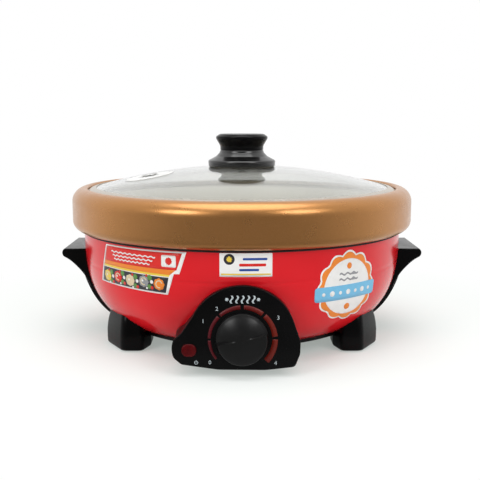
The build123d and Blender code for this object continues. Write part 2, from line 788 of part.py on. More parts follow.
vent_radius = 4.5
vent_top = glass_height(sqrt(vent_x ** 2 + vent_y ** 2))
vent_plane = Plane(origin=(vent_x, vent_y, vent_top), z_dir=(vent_x, vent_y, vent_top + glass_sphere - glass_apex))
half_way = glass_radius / 2
with BuildPart() as lid_glass:
    with BuildSketch(Plane.XZ):
        with BuildLine():
            ThreePointArc((0, glass_apex), (half_way, glass_height(half_way)), (glass_radius, glass_edge))
            ThreePointArc((0, glass_apex - glass_thickness), (half_way, glass_height(half_way) - glass_thickness),
                          (glass_radius, glass_edge - glass_thickness))
            Line((0, glass_apex), (0, glass_apex - glass_thickness))
            Line((glass_radius, glass_edge), (glass_radius, glass_edge - glass_thickness))
        make_face()
    revolve()
    with Locations((0, 0, glass_edge)):
        Cylinder(3, 60, mode=Mode.SUBTRACT)
    with BuildSketch(vent_plane):
        Circle(vent_radius + 0.1)
    extrude(amount=10, both=True, mode=Mode.SUBTRACT)
save(lid_glass, "lid_glass")

# steel rim folded round the edge of the glass
lip_top = glass_height(rim_inner_radius) + seat_gap
lip_bottom = lip_top - glass_thickness - 2 * seat_gap
with BuildPart() as lid_rim:
    with BuildSketch(Plane.XZ):
        Polygon((rim_inner_radius, lip_top), (rim_inner_radius, lip_top + rim_sheet),
                (glass_radius, glass_edge + rim_sheet), (lid_radius, glass_edge - 0.4),
                (lid_radius, ledge_height + body_gap), (lid_radius - 1, ledge_height + body_gap),
                (rim_inner_radius, lip_bottom - rim_sheet), (rim_inner_radius, lip_bottom),
                (glass_radius + seat_gap, glass_edge - glass_thickness - seat_gap),
                (glass_radius + seat_gap, glass_edge + seat_gap), align=None)
    revolve()
save(lid_rim, "lid_rim")

# steel eyelet that lines the steam vent
with BuildPart() as vent_eyelet:
    with BuildSketch(vent_plane.offset(0.15)):
        Circle(7)
    extrude(amount=1)
    fillet(faces().sort_by(Axis(vent_plane.origin, vent_plane.z_dir))[-1].edges(), 0.6)
    with BuildSketch(vent_plane.offset(0.15)):
        Circle(vent_radius)
    extrude(amount=-glass_thickness - 1.5)
    with BuildSketch(vent_plane):
        Circle(vent_bore)
    extrude(amount=20, both=True, mode=Mode.SUBTRACT)
save(vent_eyelet, "vent_eyelet")

# the knob: a flared skirt and a cap, round a brass insert
insert_radius = 4
with BuildPart() as knob_skirt:
    with BuildSketch(Plane.XZ):
        with BuildLine():
            Polyline((insert_radius, knob_base), (16, knob_base), (18, knob_base + 3), (29, knob_base + 2),
                     (31, knob_base), (knob_flange_radius - 0.8, knob_base),
                     (knob_flange_radius, knob_base + 0.8), (knob_flange_radius, knob_base + 3.4))
            Spline([(knob_flange_radius, knob_base + 3.4), (32.2, knob_base + 5.2), (26.4, knob_base + 8.6),
                    (knob_waist_radius, knob_seam)], tangents=[(0, 1), (0, 1)])
            Polyline((knob_waist_radius, knob_seam), (insert_radius, knob_seam), (insert_radius, knob_base))
        make_face()
    revolve()
save(knob_skirt, "knob_skirt")

with BuildPart() as lid_knob:
    with BuildSketch(Plane.XZ):
        with BuildLine():
            Polyline((0, knob_seam + 10), (insert_radius, knob_seam + 10), (insert_radius, knob_seam + seat_gap),
                     (knob_waist_radius, knob_seam + seat_gap), (knob_waist_radius, knob_seam + 3))
            Spline([(knob_waist_radius, knob_seam + 3), (23.2, knob_seam + 8), (knob_cap_radius, knob_seam + 12.4)],
                   tangents=[(0, 1), (0.3, 1)])
            Spline([(knob_cap_radius, knob_seam + 12.4), (24.4, knob_top - 1.1), (20.5, knob_top)],
                   tangents=[(0.2, 1), (-1, 0)])
            Polyline((20.5, knob_top), (0, knob_top), (0, knob_seam + 10))
        make_face()
    revolve()
save(lid_knob, "lid_knob")

with BuildPart() as knob_insert:
    with Locations((0, 0, knob_base + 4)):
        Cylinder(insert_radius - 0.01, 20, align=(Align.CENTER, Align.CENTER, Align.MIN))
        Cylinder(screw_radius, 16, align=(Align.CENTER, Align.CENTER, Align.MIN), mode=Mode.SUBTRACT)
save(knob_insert, "knob_insert")

with BuildPart() as knob_gasket:
    with BuildSketch(Plane.XY.offset(glass_apex)):
        Circle(15)
        Circle(screw_radius + 1, mode=Mode.SUBTRACT)
    extrude(amount=knob_base - glass_apex)
save(knob_gasket, "knob_gasket")

washer_top = glass_apex - glass_thickness
washer_depth = 1.2
with BuildPart() as knob_washer:
    with BuildSketch(Plane.XY.offset(washer_top - washer_depth)):
        Circle(9)
        Circle(screw_radius + 0.1, mode=Mode.SUBTRACT)
    extrude(amount=washer_depth - 0.1)
save(knob_washer, "knob_washer")

screw_head_top = washer_top - washer_depth
with BuildPart() as knob_screw:
    with BuildSketch(Plane.XY.offset(screw_head_top)):
        Circle(4)
    extrude(amount=-2.8)
    fillet(faces().sort_by(Axis.Z)[0].edges(), 1.2)
    with BuildSketch(Plane.XY.offset(screw_head_top)):
        Circle(screw_radius - 0.01)
    extrude(amount=knob_base + 18 - screw_head_top)
save(knob_screw, "knob_screw")
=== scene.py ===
import json
import math

import bmesh
import bpy
from mathutils import Matrix, Vector


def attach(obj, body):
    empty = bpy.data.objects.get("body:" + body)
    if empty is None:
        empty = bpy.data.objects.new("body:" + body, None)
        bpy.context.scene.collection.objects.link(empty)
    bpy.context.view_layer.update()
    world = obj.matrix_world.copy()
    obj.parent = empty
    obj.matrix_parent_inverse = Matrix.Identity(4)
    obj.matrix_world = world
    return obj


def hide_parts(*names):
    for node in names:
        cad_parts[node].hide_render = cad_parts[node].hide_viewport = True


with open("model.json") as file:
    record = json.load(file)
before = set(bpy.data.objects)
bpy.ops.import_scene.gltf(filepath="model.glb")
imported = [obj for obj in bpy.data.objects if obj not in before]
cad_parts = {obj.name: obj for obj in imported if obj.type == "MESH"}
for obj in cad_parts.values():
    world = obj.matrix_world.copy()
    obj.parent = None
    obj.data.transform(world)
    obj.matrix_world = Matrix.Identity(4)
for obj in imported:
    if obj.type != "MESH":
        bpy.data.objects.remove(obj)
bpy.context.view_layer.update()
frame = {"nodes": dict(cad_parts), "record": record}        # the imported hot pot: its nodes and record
scene = bpy.context.scene
nodes = frame["nodes"]
mm = 0.001               # the tables below are in millimetres
print("frame loaded with", len(nodes), "nodes")

# where the camera stands, how far it looks down in degrees, and its lens and sensor
cameraView = {"distance": 800, "height": 217.4, "aside": -1.8, "pitch": 9.0, "lens": 59.1, "sensor": 36}


def placeCamera():
    look = cameraView
    camera = bpy.data.objects.new("camera", bpy.data.cameras.new("camera"))
    scene.collection.objects.link(camera)
    camera.data.lens = look["lens"]
    camera.data.sensor_width = look["sensor"]
    place = Matrix.Translation(Vector((look["aside"], -look["distance"], look["height"])) * mm)
    tilt = Matrix.Rotation(math.radians(90 - look["pitch"]), 4, "X")
    camera.matrix_world = place @ tilt
    scene.camera = camera


placeCamera()


# adds a node with its settings; an input is a value or the output that feeds it
def addNode(tree, kind, inputs=None, **settings):
    node = tree.nodes.new(kind)
    for name, value in settings.items():
        setattr(node, name, value)
    for key, value in (inputs or {}).items():
        if isinstance(value, bpy.types.NodeSocket):
            tree.links.new(value, node.inputs[key])
        else:
            node.inputs[key].default_value = value
    return node


def maths(tree, operation, *values):
    node = addNode(tree, "ShaderNodeMath", dict(enumerate(values)), operation=operation)
    return node.outputs[0]


# a Principled material and the Object coordinates that its patterns read
def startFinish(name, values):
    material = bpy.data.materials.new(name)
    material.use_nodes = True
    tree = material.node_tree
    shader = tree.nodes["Principled BSDF"]
    for socket, value in values.items():
        shader.inputs[socket].default_value = value
    place = addNode(tree, "ShaderNodeTexCoord").outputs["Object"]
    return material, tree, shader, place


def noise(tree, place, scale, detail=3.0, rough=0.55):
    node = addNode(tree, "ShaderNodeTexNoise",
                   {"Vector": place, "Scale": scale, "Detail": detail, "Roughness": rough})
    return node.outputs["Fac"]


def stretched(tree, place, scale):
    return addNode(tree, "ShaderNodeMapping", {"Vector": place, "Scale": scale}).outputs["Vector"]


def between(tree, factor, low, high, start=0.3, end=0.7):
    node = addNode(tree, "ShaderNodeMapRange", {"Value": factor, "From Min": start, "From Max": end,
                                                "To Min": low, "To Max": high})
    return node.outputs["Result"]


def shades(tree, factor, first, second, start=0.3, end=0.7):
    ramp = addNode(tree, "ShaderNodeValToRGB", {"Fac": factor})
    for stop, position, colour in zip(ramp.color_ramp.elements, (start, end), (first, second)):
        stop.position = position
        stop.color = (*colour, 1)
    return ramp.outputs["Color"]


def axisOf(tree, place, axis):
    return addNode(tree, "ShaderNodeSeparateXYZ", {0: place}).outputs[axis]


def paint(tree, shader, colour, roughness):
    tree.links.new(colour, shader.inputs["Base Color"])
    tree.links.new(roughness, shader.inputs["Roughness"])


# raises the surface by a pattern; depth is in millimetres
def raised(tree, shader, pattern, depth, strength):
    bump = addNode(tree, "ShaderNodeBump", {"Height": pattern, "Distance": depth * mm, "Strength": strength})
    tree.links.new(bump.outputs["Normal"], shader.inputs["Normal"])


# ends a material in two shaders, with the share that the second one has
def mixed(tree, share, first, second):
    mix = addNode(tree, "ShaderNodeMixShader", {0: share, 1: first.outputs[0], 2: second.outputs[0]})
    tree.links.new(mix.outputs[0], tree.nodes["Material Output"].inputs["Surface"])


# the two colours that each finish runs between
tints = {
    "enamel": [(0.66, 0.008, 0.014), (0.72, 0.011, 0.018)],
    "bronze": [(0.43, 0.19, 0.055), (0.52, 0.245, 0.08)],
    "lens": [(0.07, 0.0006, 0.002), (0.13, 0.001, 0.003)],
    "liningFloor": [(0.40, 0.36, 0.30), (0.56, 0.51, 0.43)],
    "liningWall": [(0.64, 0.62, 0.55), (0.76, 0.74, 0.67)],
    "scale": [(0.075, 0.002, 0.008), (0.15, 0.009, 0.002)],
}
glassTint = (0.95, 0.965, 0.95, 1)
liningChange = (0.108, 0.136)  # heights in metres between which the lining turns paler
scaleReach = (-0.03, 0.04)     # the scale's cool end and hot end across the panel, in metres


def glossyEnamel():
    material, tree, shader, place = startFinish("redEnamel", {
        "Specular IOR Level": 0.32, "Coat Weight": 0.12, "Coat Roughness": 0.04})
    colour = shades(tree, noise(tree, place, 14), *tints["enamel"])
    paint(tree, shader, colour, between(tree, noise(tree, place, 60), 0.16, 0.22))
    raised(tree, shader, noise(tree, place, 160, 2), 0.008, 0.2)
    return material


def bronzeLacquer():
    material, tree, shader, place = startFinish("bronzeLacquer", {
        "Metallic": 0.8, "Coat Weight": 0.2, "Coat Roughness": 0.1})
    colour = shades(tree, noise(tree, place, 2600, 1), *tints["bronze"])
    paint(tree, shader, colour, between(tree, noise(tree, place, 90), 0.26, 0.34))
    raised(tree, shader, noise(tree, place, 900, 2), 0.012, 0.2)
    return material


# black plastic: two greys, a range of roughness, the scale and depth of its grain, and its shine
def blackMoulding(name, dark, pale, roughness, grain, depth, shine):
    material, tree, shader, place = startFinish(name, {"Specular IOR Level": shine})
    colour = shades(tree, noise(tree, place, 35), (dark,) * 3, (pale, pale, pale * 1.06))
    paint(tree, shader, colour, between(tree, noise(tree, place, 120), *roughness))
    raised(tree, shader, noise(tree, place, grain, 2), depth, 0.3)
    return material


# metal with fine lines; streak says how much the pattern is squeezed along each axis
def bareMetal(name, dark, pale, roughness, streak, depth=0.01):
    material, tree, shader, place = startFinish(name, {"Metallic": 1.0})
    lines = noise(tree, stretched(tree, place, streak), 60, 4)
    paint(tree, shader, shades(tree, lines, dark, pale), between(tree, lines, *roughness))
    raised(tree, shader, lines, depth, 0.3)
    return material


# lets lamps through, so that the pot under the lid is lit
def domeGlass():
    material, tree, shader, place = startFinish("domeGlass", {
        "Transmission Weight": 1.0, "IOR": 1.5, "Base Color": glassTint})
    tree.links.new(between(tree, noise(tree, place, 25), 0.0, 0.03), shader.inputs["Roughness"])
    clear = addNode(tree, "ShaderNodeBsdfTransparent", {"Color": glassTint})
    path = addNode(tree, "ShaderNodeLightPath").outputs
    mixed(tree, maths(tree, "MAXIMUM", path["Is Shadow Ray"], path["Is Diffuse Ray"]), shader, clear)
    return material


def redLens():
    material, tree, shader, place = startFinish("redLens", {
        "Transmission Weight": 0.3, "IOR": 1.4, "Specular IOR Level": 0.2})
    colour = shades(tree, noise(tree, place, 300), *tints["lens"])
    paint(tree, shader, colour, between(tree, noise(tree, place, 200), 0.12, 0.25))
    raised(tree, shader, noise(tree, place, 700, 1), 0.05, 0.4)
    return material


# grey lining with fine specks, paler up the wall than on its warm grey floor
def potLining():
    material, tree, shader, place = startFinish("potLining", {"Specular IOR Level": 0.5})
    specks = noise(tree, place, 1500, 2)
    share = between(tree, axisOf(tree, place, "Z"), 0, 1, *liningChange)
    low = shades(tree, specks, *tints["liningFloor"])
    high = shades(tree, specks, *tints["liningWall"])
    colour = addNode(tree, "ShaderNodeMix", {0: share, 6: low, 7: high}, data_type="RGBA").outputs[2]
    paint(tree, shader, colour, between(tree, noise(tree, place, 70), 0.3, 0.42))
    raised(tree, shader, specks, 0.02, 0.3)
    return material


# rubber, ceramic and woven sleeve: two colours, a range of roughness, the pattern's scale and depth
def softFinish(name, dark, pale, roughness, scale, depth):
    material, tree, shader, place = startFinish(name, {"Specular IOR Level": 0.4})
    cloud = noise(tree, place, scale)
    paint(tree, shader, shades(tree, cloud, dark, pale), between(tree, cloud, *roughness))
    raised(tree, shader, noise(tree, place, scale * 4, 2), depth, 0.4)
    return material


# printed ink or paper: a colour with a little unevenness under a thin glossy film
def printedFilm(name, colour, spread=0.06):
    material, tree, shader, place = startFinish(name, {
        "Specular IOR Level": 0.3, "Coat Weight": 0.3, "Coat Roughness": 0.1})
    cloud = noise(tree, place, 180)
    darker = tuple(part * (1 - spread) for part in colour)
    paint(tree, shader, shades(tree, cloud, darker, colour), between(tree, cloud, 0.35, 0.5))
    return material


# the heat scale's ink goes from crimson at the left to orange red at the hot end
def scaleInk():
    material, tree, shader, place = startFinish("scaleInk", {"Specular IOR Level": 0.25, "Coat Weight": 0.1})
    uneven = maths(tree, "MULTIPLY_ADD", noise(tree, place, 240), 0.01, axisOf(tree, place, "X"))
    colour = shades(tree, between(tree, uneven, 0, 1, *scaleReach), *tints["scale"], 0, 1)
    paint(tree, shader, colour, between(tree, noise(tree, place, 300), 0.3, 0.45))
    return material


finishes = {
    "red_enamel": glossyEnamel(),
    "bronze_band": bronzeLacquer(),
    "black_bakelite": blackMoulding("blackBakelite", 0.0015, 0.003, (0.16, 0.24), 700, 0.006, 0.12),
    "black_plastic": blackMoulding("blackPlastic", 0.003, 0.006, (0.34, 0.46), 1200, 0.02, 0.2),
    "panel_black": blackMoulding("panelBlack", 0.002, 0.0035, (0.2, 0.28), 900, 0.006, 0.12),
    "dial_black": blackMoulding("dialBlack", 0.003, 0.005, (0.3, 0.38), 900, 0.006, 0.42),
    "scale_red": scaleInk(),
    "lamp_red": redLens(),
    "black_rubber": softFinish("blackRubber", (0.010,) * 3, (0.02,) * 3, (0.6, 0.8), 90, 0.04),
    "grey_silicone": softFinish("greySilicone", (0.1,) * 3, (0.14,) * 3, (0.5, 0.65), 80, 0.03),
    "steel": bareMetal("steel", (0.5, 0.5, 0.49), (0.62, 0.62, 0.61), (0.28, 0.4), (1, 1, 8)),
    "polished_steel": bareMetal("polishedSteel", (0.66, 0.66, 0.65), (0.76, 0.76, 0.75),
                                (0.08, 0.16), (1, 1, 12)),
    "brass": bareMetal("brass", (0.6, 0.42, 0.16), (0.76, 0.56, 0.26), (0.2, 0.32), (1, 1, 6)),
    "copper": bareMetal("copper", (0.6, 0.3, 0.18), (0.76, 0.42, 0.28), (0.25, 0.4), (1, 1, 6)),
    "cast_aluminium": bareMetal("castAluminium", (0.46, 0.46, 0.45), (0.62, 0.62, 0.61),
                                (0.4, 0.55), (1, 1, 1), 0.06),
    "pot_lining": potLining(),
    "clear_glass": domeGlass(),
    "white_ceramic": softFinish("whiteCeramic", (0.68, 0.67, 0.64), (0.8, 0.79, 0.76), (0.3, 0.45), 60, 0.03),
    "wire_sleeve": softFinish("wireSleeve", (0.5, 0.5, 0.47), (0.62, 0.61, 0.58), (0.55, 0.7), 300, 0.05),
}
knobBlack = blackMoulding("knobBlack", 0.0015, 0.003, (0.18, 0.26), 700, 0.006, 0.75)
# steel of the lid's rim, tinted tan: a painted reflection of the bronze band
lidSteelPaintedReflection = bareMetal("lidSteelPaintedReflection", (0.50, 0.45, 0.38), (0.58, 0.53, 0.46), (0.22, 0.32), (1, 1, 12))
inkFilms = {
    "paper": printedFilm("whitePaper", (0.86, 0.86, 0.84), 0.03),
    "red": printedFilm("redInk", (0.74, 0.018, 0.012)),
    "orange": printedFilm("orangeInk", (0.85, 0.24, 0.02)),
    "yellow": printedFilm("yellowInk", (0.86, 0.62, 0.06)),
    "green": printedFilm("greenInk", (0.1, 0.28, 0.05)),
    "cream": printedFilm("creamInk", (0.75, 0.62, 0.4)),
    "blue": printedFilm("blueInk", (0.02, 0.08, 0.36)),
    "sky": printedFilm("skyInk", (0.18, 0.52, 0.78)),
    "dark": printedFilm("darkInk", (0.03, 0.03, 0.04)),
    "grey": printedFilm("greyInk", (0.3, 0.31, 0.32)),
    "pale": printedFilm("paleInk", (0.46, 0.52, 0.54)),
    "white": printedFilm("whiteInk", (0.84, 0.84, 0.82)),
}
print("finishes:", len(finishes) + len(inkFilms))

# the record's slot of each CAD node
slotOf = {part["node"]: part["material_slot"] for part in frame["record"]["subparts"]}


def bareObject(name, data):
    piece = bpy.data.objects.new(name, data)
    scene.collection.objects.link(piece)
    return piece


# smooth shading, with edges past an angle in degrees left sharp
def smoothed(mesh, angle):
    mesh.shade_smooth()
    mesh.set_sharp_from_angle(angle=math.radians(angle))


def keepPiece(name, mesh, angle=35):
    smoothed(mesh, angle)
    return bareObject(name, mesh)


# gives a finished piece its material, picked by its slot unless another is given, ties it to its body and hides the
# nodes that it stands for
def settle(piece, body, slot, replaced=(), material=None):
    piece.data.materials.clear()
    piece.data.materials.append(material or finishes[slot])
    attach(piece, body)
    if replaced:
        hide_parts(*replaced)


# the plain mesh that a piece's modifiers or its text give
def plainMesh(piece):
    bpy.context.view_layer.update()
    return bpy.data.meshes.new_from_object(piece.evaluated_get(bpy.context.evaluated_depsgraph_get()))


# applies a piece's modifiers and leaves the plain result
def applyAll(piece):
    result = plainMesh(piece)
    piece.modifiers.clear()
    piece.data = result
    return piece


# the mesh of a finished bmesh, with its faces turned outwards if that is asked for
def meshOf(name, shape, outwards=False):
    if outwards:
        bmesh.ops.recalc_face_normals(shape, faces=shape.faces)
    mesh = bpy.data.meshes.new(name)
    shape.to_mesh(mesh)
    shape.free()
    return mesh


def faceOutwards(mesh):
    shape = bmesh.new()
    shape.from_mesh(mesh)
    bmesh.ops.recalc_face_normals(shape, faces=shape.faces)
    shape.to_mesh(mesh)
    shape.free()


# points (across, up) on an arc between two angles in degrees
def arc(across, up, radius, start, end, steps):
    turns = [math.radians(start + (end - start) * step / steps) for step in range(steps + 1)]
    return [(across + radius * math.cos(turn), up + radius * math.sin(turn)) for turn in turns]


# a line through points (across, up, corner radius), with a soft curve at each corner
def softLine(points, closed=True, steps=5):
    most = 0.48  # the share of a run that one corner's curve may take
    line = []
    for index, (across, up, radius) in enumerate(points):
        corner = Vector((across, up))
        if not radius or (not closed and index in (0, len(points) - 1)):
            line.append(corner)
            continue
        back = Vector(points[index - 1][:2]) - corner
        ahead = Vector(points[(index + 1) % len(points)][:2]) - corner
        reach = min(radius / math.tan(back.angle(ahead) / 2), most * back.length, most * ahead.length)
        start = corner + back.normalized() * reach
        end = corner + ahead.normalized() * reach
        for step in range(steps + 1):
            t = step / steps
            line.append(start * (1 - t) ** 2 + corner * 2 * t * (1 - t) + end * t ** 2)
    return line


# outline of an upright bar with rounded corners
def bar(left, right, bottom, top, radius=0.0):
    corners = [(right, bottom), (right, top), (left, top), (left, bottom)]
    return [tuple(point) for point in softLine([(across, up, radius) for across, up in corners])]


# faces between two rows of points, which may share a point at a pole
def joinRows(shape, row, following, closed=True):
    for index in range(len(row) if closed else len(row) - 1):
        after = (index + 1) % len(row)
        corners = dict.fromkeys([row[index], row[after], following[after], following[index]])
        if len(corners) > 2:
            shape.faces.new(list(corners))


# turns a closed outline of (radius, height) about the upright axis
def turned(name, outline, segments=192):
    shape = bmesh.new()
    turns = [2 * math.pi * index / segments for index in range(segments)]
    rings = []
    for radius, height in outline:
        if radius < 1e-6:
            rings.append([shape.verts.new((0, 0, height * mm))] * segments)
            continue
        spots = [(radius * mm * math.cos(turn), radius * mm * math.sin(turn), height * mm) for turn in turns]
        rings.append([shape.verts.new(spot) for spot in spots])
    for ring, following in zip(rings, rings[1:] + rings[:1]):
        joinRows(shape, ring, following)
    return meshOf(name, shape, outwards=True)


# a straight bar with the given outline (across, up), from one depth along Y to another
def barAlongY(name, outline, start, end):
    shape = bmesh.new()
    ends = []
    for depth in (start, end):
        ends.append([shape.verts.new((across * mm, depth * mm, up * mm)) for across, up in outline])
    for ring in ends:
        shape.faces.new(ring)
    joinRows(shape, *ends)
    return meshOf(name, shape, outwards=True)


# rounds the edges that turn by more than one angle, then shades those past the other angle sharp
def softenEdges(piece, width, rounded, sharp):
    edge = piece.modifiers.new("edge", "BEVEL")
    edge.width = width * mm
    edge.segments = 3
    edge.angle_limit = math.radians(rounded)
    edge.use_clamp_overlap = True
    applyAll(piece)
    smoothed(piece.data, sharp)


# a welded copy of a CAD node with flat areas joined and its edges softened
def softCopy(node, name, bevel):
    shape = bmesh.new()
    shape.from_mesh(nodes[node].data)
    bmesh.ops.remove_doubles(shape, verts=shape.verts, dist=0.01 * mm)
    bmesh.ops.dissolve_limit(shape, angle_limit=math.radians(0.4), verts=shape.verts, edges=shape.edges)
    piece = keepPiece(name, meshOf(name, shape), 30)
    if bevel:
        softenEdges(piece, bevel, 28, 40)
    return piece


# cuts the shape of other pieces out of a piece
def cutOut(piece, cutters):
    for cutter in cutters:
        cut = piece.modifiers.new("cut", "BOOLEAN")
        cut.operation = "DIFFERENCE"
        cut.object = cutter
        cut.solver = "EXACT"
    applyAll(piece)
    for cutter in cutters:
        bpy.data.objects.remove(cutter)
    return piece


# gives a flat film its thickness, half of it on each side
def thicken(piece, thickness):
    sheet = piece.modifiers.new("film", "SOLIDIFY")
    sheet.thickness = thickness * mm
    sheet.offset = 0
    applyAll(piece)
    faceOutwards(piece.data)
    return piece


# a tree of geometry nodes with its named inputs
def startTree(name, inputs):
    tree = bpy.data.node_groups.new(name, "GeometryNodeTree")
    tree.interface.new_socket("Geometry", in_out="OUTPUT", socket_type="NodeSocketGeometry")
    for label, kind in inputs.items():
        tree.interface.new_socket(label, in_out="INPUT", socket_type="NodeSocket" + kind)
    return tree, addNode(tree, "NodeGroupInput").outputs


def endTree(tree, geometry, finish):
    real = addNode(tree, "GeometryNodeRealizeInstances", {"Geometry": geometry})
    painted = addNode(tree, "GeometryNodeSetMaterial", {"Geometry": real.outputs[0], "Material": finish})
    end = addNode(tree, "NodeGroupOutput")
    tree.links.new(painted.outputs[0], end.inputs[0])
    return tree


# runs a tree on loose points with its inputs set by name, and keeps the plain result
def grown(name, tree, inputs, spots=()):
    mesh = bpy.data.meshes.new(name)
    mesh.from_pydata([Vector(spot) * mm for spot in spots], [], [])
    piece = bareObject(name, mesh)
    modifier = piece.modifiers.new("nodes", "NODES")
    modifier.node_group = tree
    for item in tree.interface.items_tree:
        if item.item_type == "SOCKET" and item.in_out == "INPUT" and item.name in inputs:
            modifier[item.identifier] = inputs[item.name]
    return applyAll(piece)


# the bowl: a rule gives its wall, and a tree of nodes makes it from the values that start with a capital
bowlLook = {
    "Top Radius": 158.0, "Flat Radius": 71.0, "Mouth Radius": 50.0,
    "Crown Height": 100.0, "Top Height": 104.9, "Depth": 92.0, "Squareness": 2.57, "Wall": 1.2,
    "Crease Height": 78.0, "Crease Depth": 0.35, "Crease Width": 1.5,
    "rows": 110, "segments": 200, "crowding": 1.7,
}
# each opening: its width, height, middle and corner radius, and where its cutter starts and ends
bowlOpenings = {"front": (44, 40, 33.6, 5, -200, -90), "back": (38, 22, 40, 4, 90, 200)}


# the bowl's wall from the crown down: distance along it, radius and height
def wallRows():
    look = bowlLook
    power = 2 / look["Squareness"]
    rows = []
    gone = 0.0
    for halfDegree in range(181):
        turn = math.radians(halfDegree / 2)
        radius = look["Flat Radius"] + (look["Top Radius"] - look["Flat Radius"]) * math.cos(turn) ** power
        height = look["Crown Height"] - look["Depth"] * math.sin(turn) ** power
        if rows:
            gone += math.hypot(radius - rows[-1][1], height - rows[-1][2])
        rows.append((gone, radius, height))
    return rows


bowlRows = wallRows()


def bowlTree():
    inputs = {name: "Float" for name in bowlLook if name[0].isupper()}
    inputs.update({"Rows": "Int", "Segments": "Int", "Finish": "Material"})
    tree, sizes = startTree("pressedBowl", inputs)

    def calc(operation, *values):
        return maths(tree, operation, *values)

    def pick(test, no, yes):
        return addNode(tree, "GeometryNodeSwitch", {"Switch": test, "False": no, "True": yes},
                       input_type="FLOAT").outputs[0]

    rows = sizes["Rows"]
    # one loop of rows: down the outside, up the inside and back to the first
    grid = addNode(tree, "GeometryNodeMeshGrid", {
        "Size X": 1.0, "Size Y": 1.0, "Vertices X": calc("ADD", sizes["Segments"], 1),
        "Vertices Y": calc("MULTIPLY_ADD", rows, 2, 3)})
    place = addNode(tree, "GeometryNodeInputPosition").outputs[0]
    turn = calc("MULTIPLY", calc("ADD", axisOf(tree, place, "X"), 0.5), 2 * math.pi)
    lastRow = calc("MULTIPLY_ADD", rows, 2, 2)
    row = calc("ROUND", calc("MULTIPLY", calc("ADD", axisOf(tree, place, "Y"), 0.5), lastRow))
    row = calc("MODULO", row, lastRow)
    inside = calc("GREATER_THAN", row, calc("ADD", rows, 0.5))
    backRow = calc("SUBTRACT", calc("MULTIPLY_ADD", rows, 2, 1), row)
    step = pick(inside, row, backRow)
    # how far down the wall a row lies, with more rows near the crown
    share = calc("DIVIDE", calc("SUBTRACT", step, 1), calc("SUBTRACT", rows, 2))
    inCurve = addNode(tree, "ShaderNodeClamp", {"Value": share}).outputs[0]
    angle = calc("MULTIPLY", calc("POWER", inCurve, bowlLook["crowding"]), math.pi / 2)
    power = calc("DIVIDE", 2, sizes["Squareness"])
    wall = calc("MULTIPLY", sizes["Wall"], inside)
    spread = calc("SUBTRACT", calc("SUBTRACT", sizes["Top Radius"], wall), sizes["Flat Radius"])
    depth = calc("SUBTRACT", sizes["Depth"], wall)
    cosine = calc("MAXIMUM", calc("COSINE", angle), 0)
    radius = calc("MULTIPLY_ADD", spread, calc("POWER", cosine, power), sizes["Flat Radius"])
    down = calc("MULTIPLY", depth, calc("POWER", calc("SINE", angle), power))
    height = calc("SUBTRACT", sizes["Crown Height"], down)
    # the first row stands on the crown, the last reaches in to the mouth
    height = pick(calc("LESS_THAN", share, -0.0001), height, sizes["Top Height"])
    radius = pick(calc("GREATER_THAN", share, 1.0001), radius, sizes["Mouth Radius"])
    # a shallow pressed crease runs round the wall
    offCrease = calc("DIVIDE", calc("SUBTRACT", height, sizes["Crease Height"]), sizes["Crease Width"])
    fall = calc("POWER", math.e, calc("MULTIPLY", calc("MULTIPLY", offCrease, offCrease), -1))
    radius = calc("SUBTRACT", radius, calc("MULTIPLY", fall, sizes["Crease Depth"]))
    spot = addNode(tree, "ShaderNodeCombineXYZ", {
        "X": calc("MULTIPLY", radius, calc("COSINE", turn)),
        "Y": calc("MULTIPLY", radius, calc("SINE", turn)), "Z": height}).outputs[0]
    scaled = addNode(tree, "ShaderNodeVectorMath", {0: spot, "Scale": mm}, operation="SCALE").outputs[0]
    moved = addNode(tree, "GeometryNodeSetPosition", {"Geometry": grid.outputs["Mesh"], "Position": scaled})
    welded = addNode(tree, "GeometryNodeMergeByDistance", {
        "Geometry": moved.outputs[0], "Distance": 0.01 * mm})
    return endTree(tree, welded.outputs[0], sizes["Finish"])


def makeBowl():
    inputs = {name: value for name, value in bowlLook.items() if name[0].isupper()}
    inputs.update({"Rows": bowlLook["rows"], "Segments": bowlLook["segments"]})
    inputs["Finish"] = finishes["red_enamel"]
    bowl = grown("bowl", bowlTree(), inputs)
    faceOutwards(bowl.data)
    cutters = []
    for name, (width, height, middle, radius, start, end) in bowlOpenings.items():
        outline = bar(-width / 2, width / 2, middle - height / 2, middle + height / 2, radius)
        cutters.append(bareObject(name, barAlongY(name, outline, start, end)))
    cutOut(bowl, cutters)
    smoothed(bowl.data, 40)
    settle(bowl, "base", "red_enamel", ["body_shell"])


makeBowl()
print("bowl made")


bandLook = {"radius": 169, "bottom": 107.1, "crest": 147.4, "sheet": 1.5, "shoulder": 13, "heel": 9,
            "lip": 156.6, "roll": 2.2, "rollCurve": [(1, 0.9), (0.82, 0.42), (0.45, 0.1)]}


# the band's section, moved in by the sheet on its way back
def bandLine(inset):
    look = bandLook
    roll = look["roll"]
    top = look["radius"] - look["shoulder"]
    line = [(top - roll * inward, look["crest"] - inset - roll * down) for inward, down in look["rollCurve"]]
    line += arc(top, look["crest"] - look["shoulder"], look["shoulder"] - inset, 90, 0, 14)
    heel = look["heel"]
    line += arc(look["radius"] - heel, look["bottom"] + heel, heel - inset, 0, -90, 10)
    line.append((look["lip"], look["bottom"] + inset))
    return line


def makeBand():
    outline = bandLine(0) + bandLine(bandLook["sheet"])[::-1]
    settle(keepPiece("band", turned("band", outline, 256)), "pot", "bronze_band", ["rim_band"])


sealLook = {"inner": 156.05, "outer": 159.15, "bottom": 104.9, "top": 106.8}


def makeSeal():
    inner, outer, bottom, top = sealLook.values()
    outline = softLine([(inner, bottom, 0.3), (outer, bottom, 0.6), (outer, top, 0.6), (inner, top, 0.3)])
    settle(keepPiece("rimSeal", turned("rimSeal", outline)), "base", "black_rubber", ["rim_seal"])


potLook = {"radius": 151, "wall": 2.5, "bottom": 38, "corner": 45, "ledge": 138, "ledgeRadius": 153.3,
           "rimSheet": 1.8, "top": 143.9}


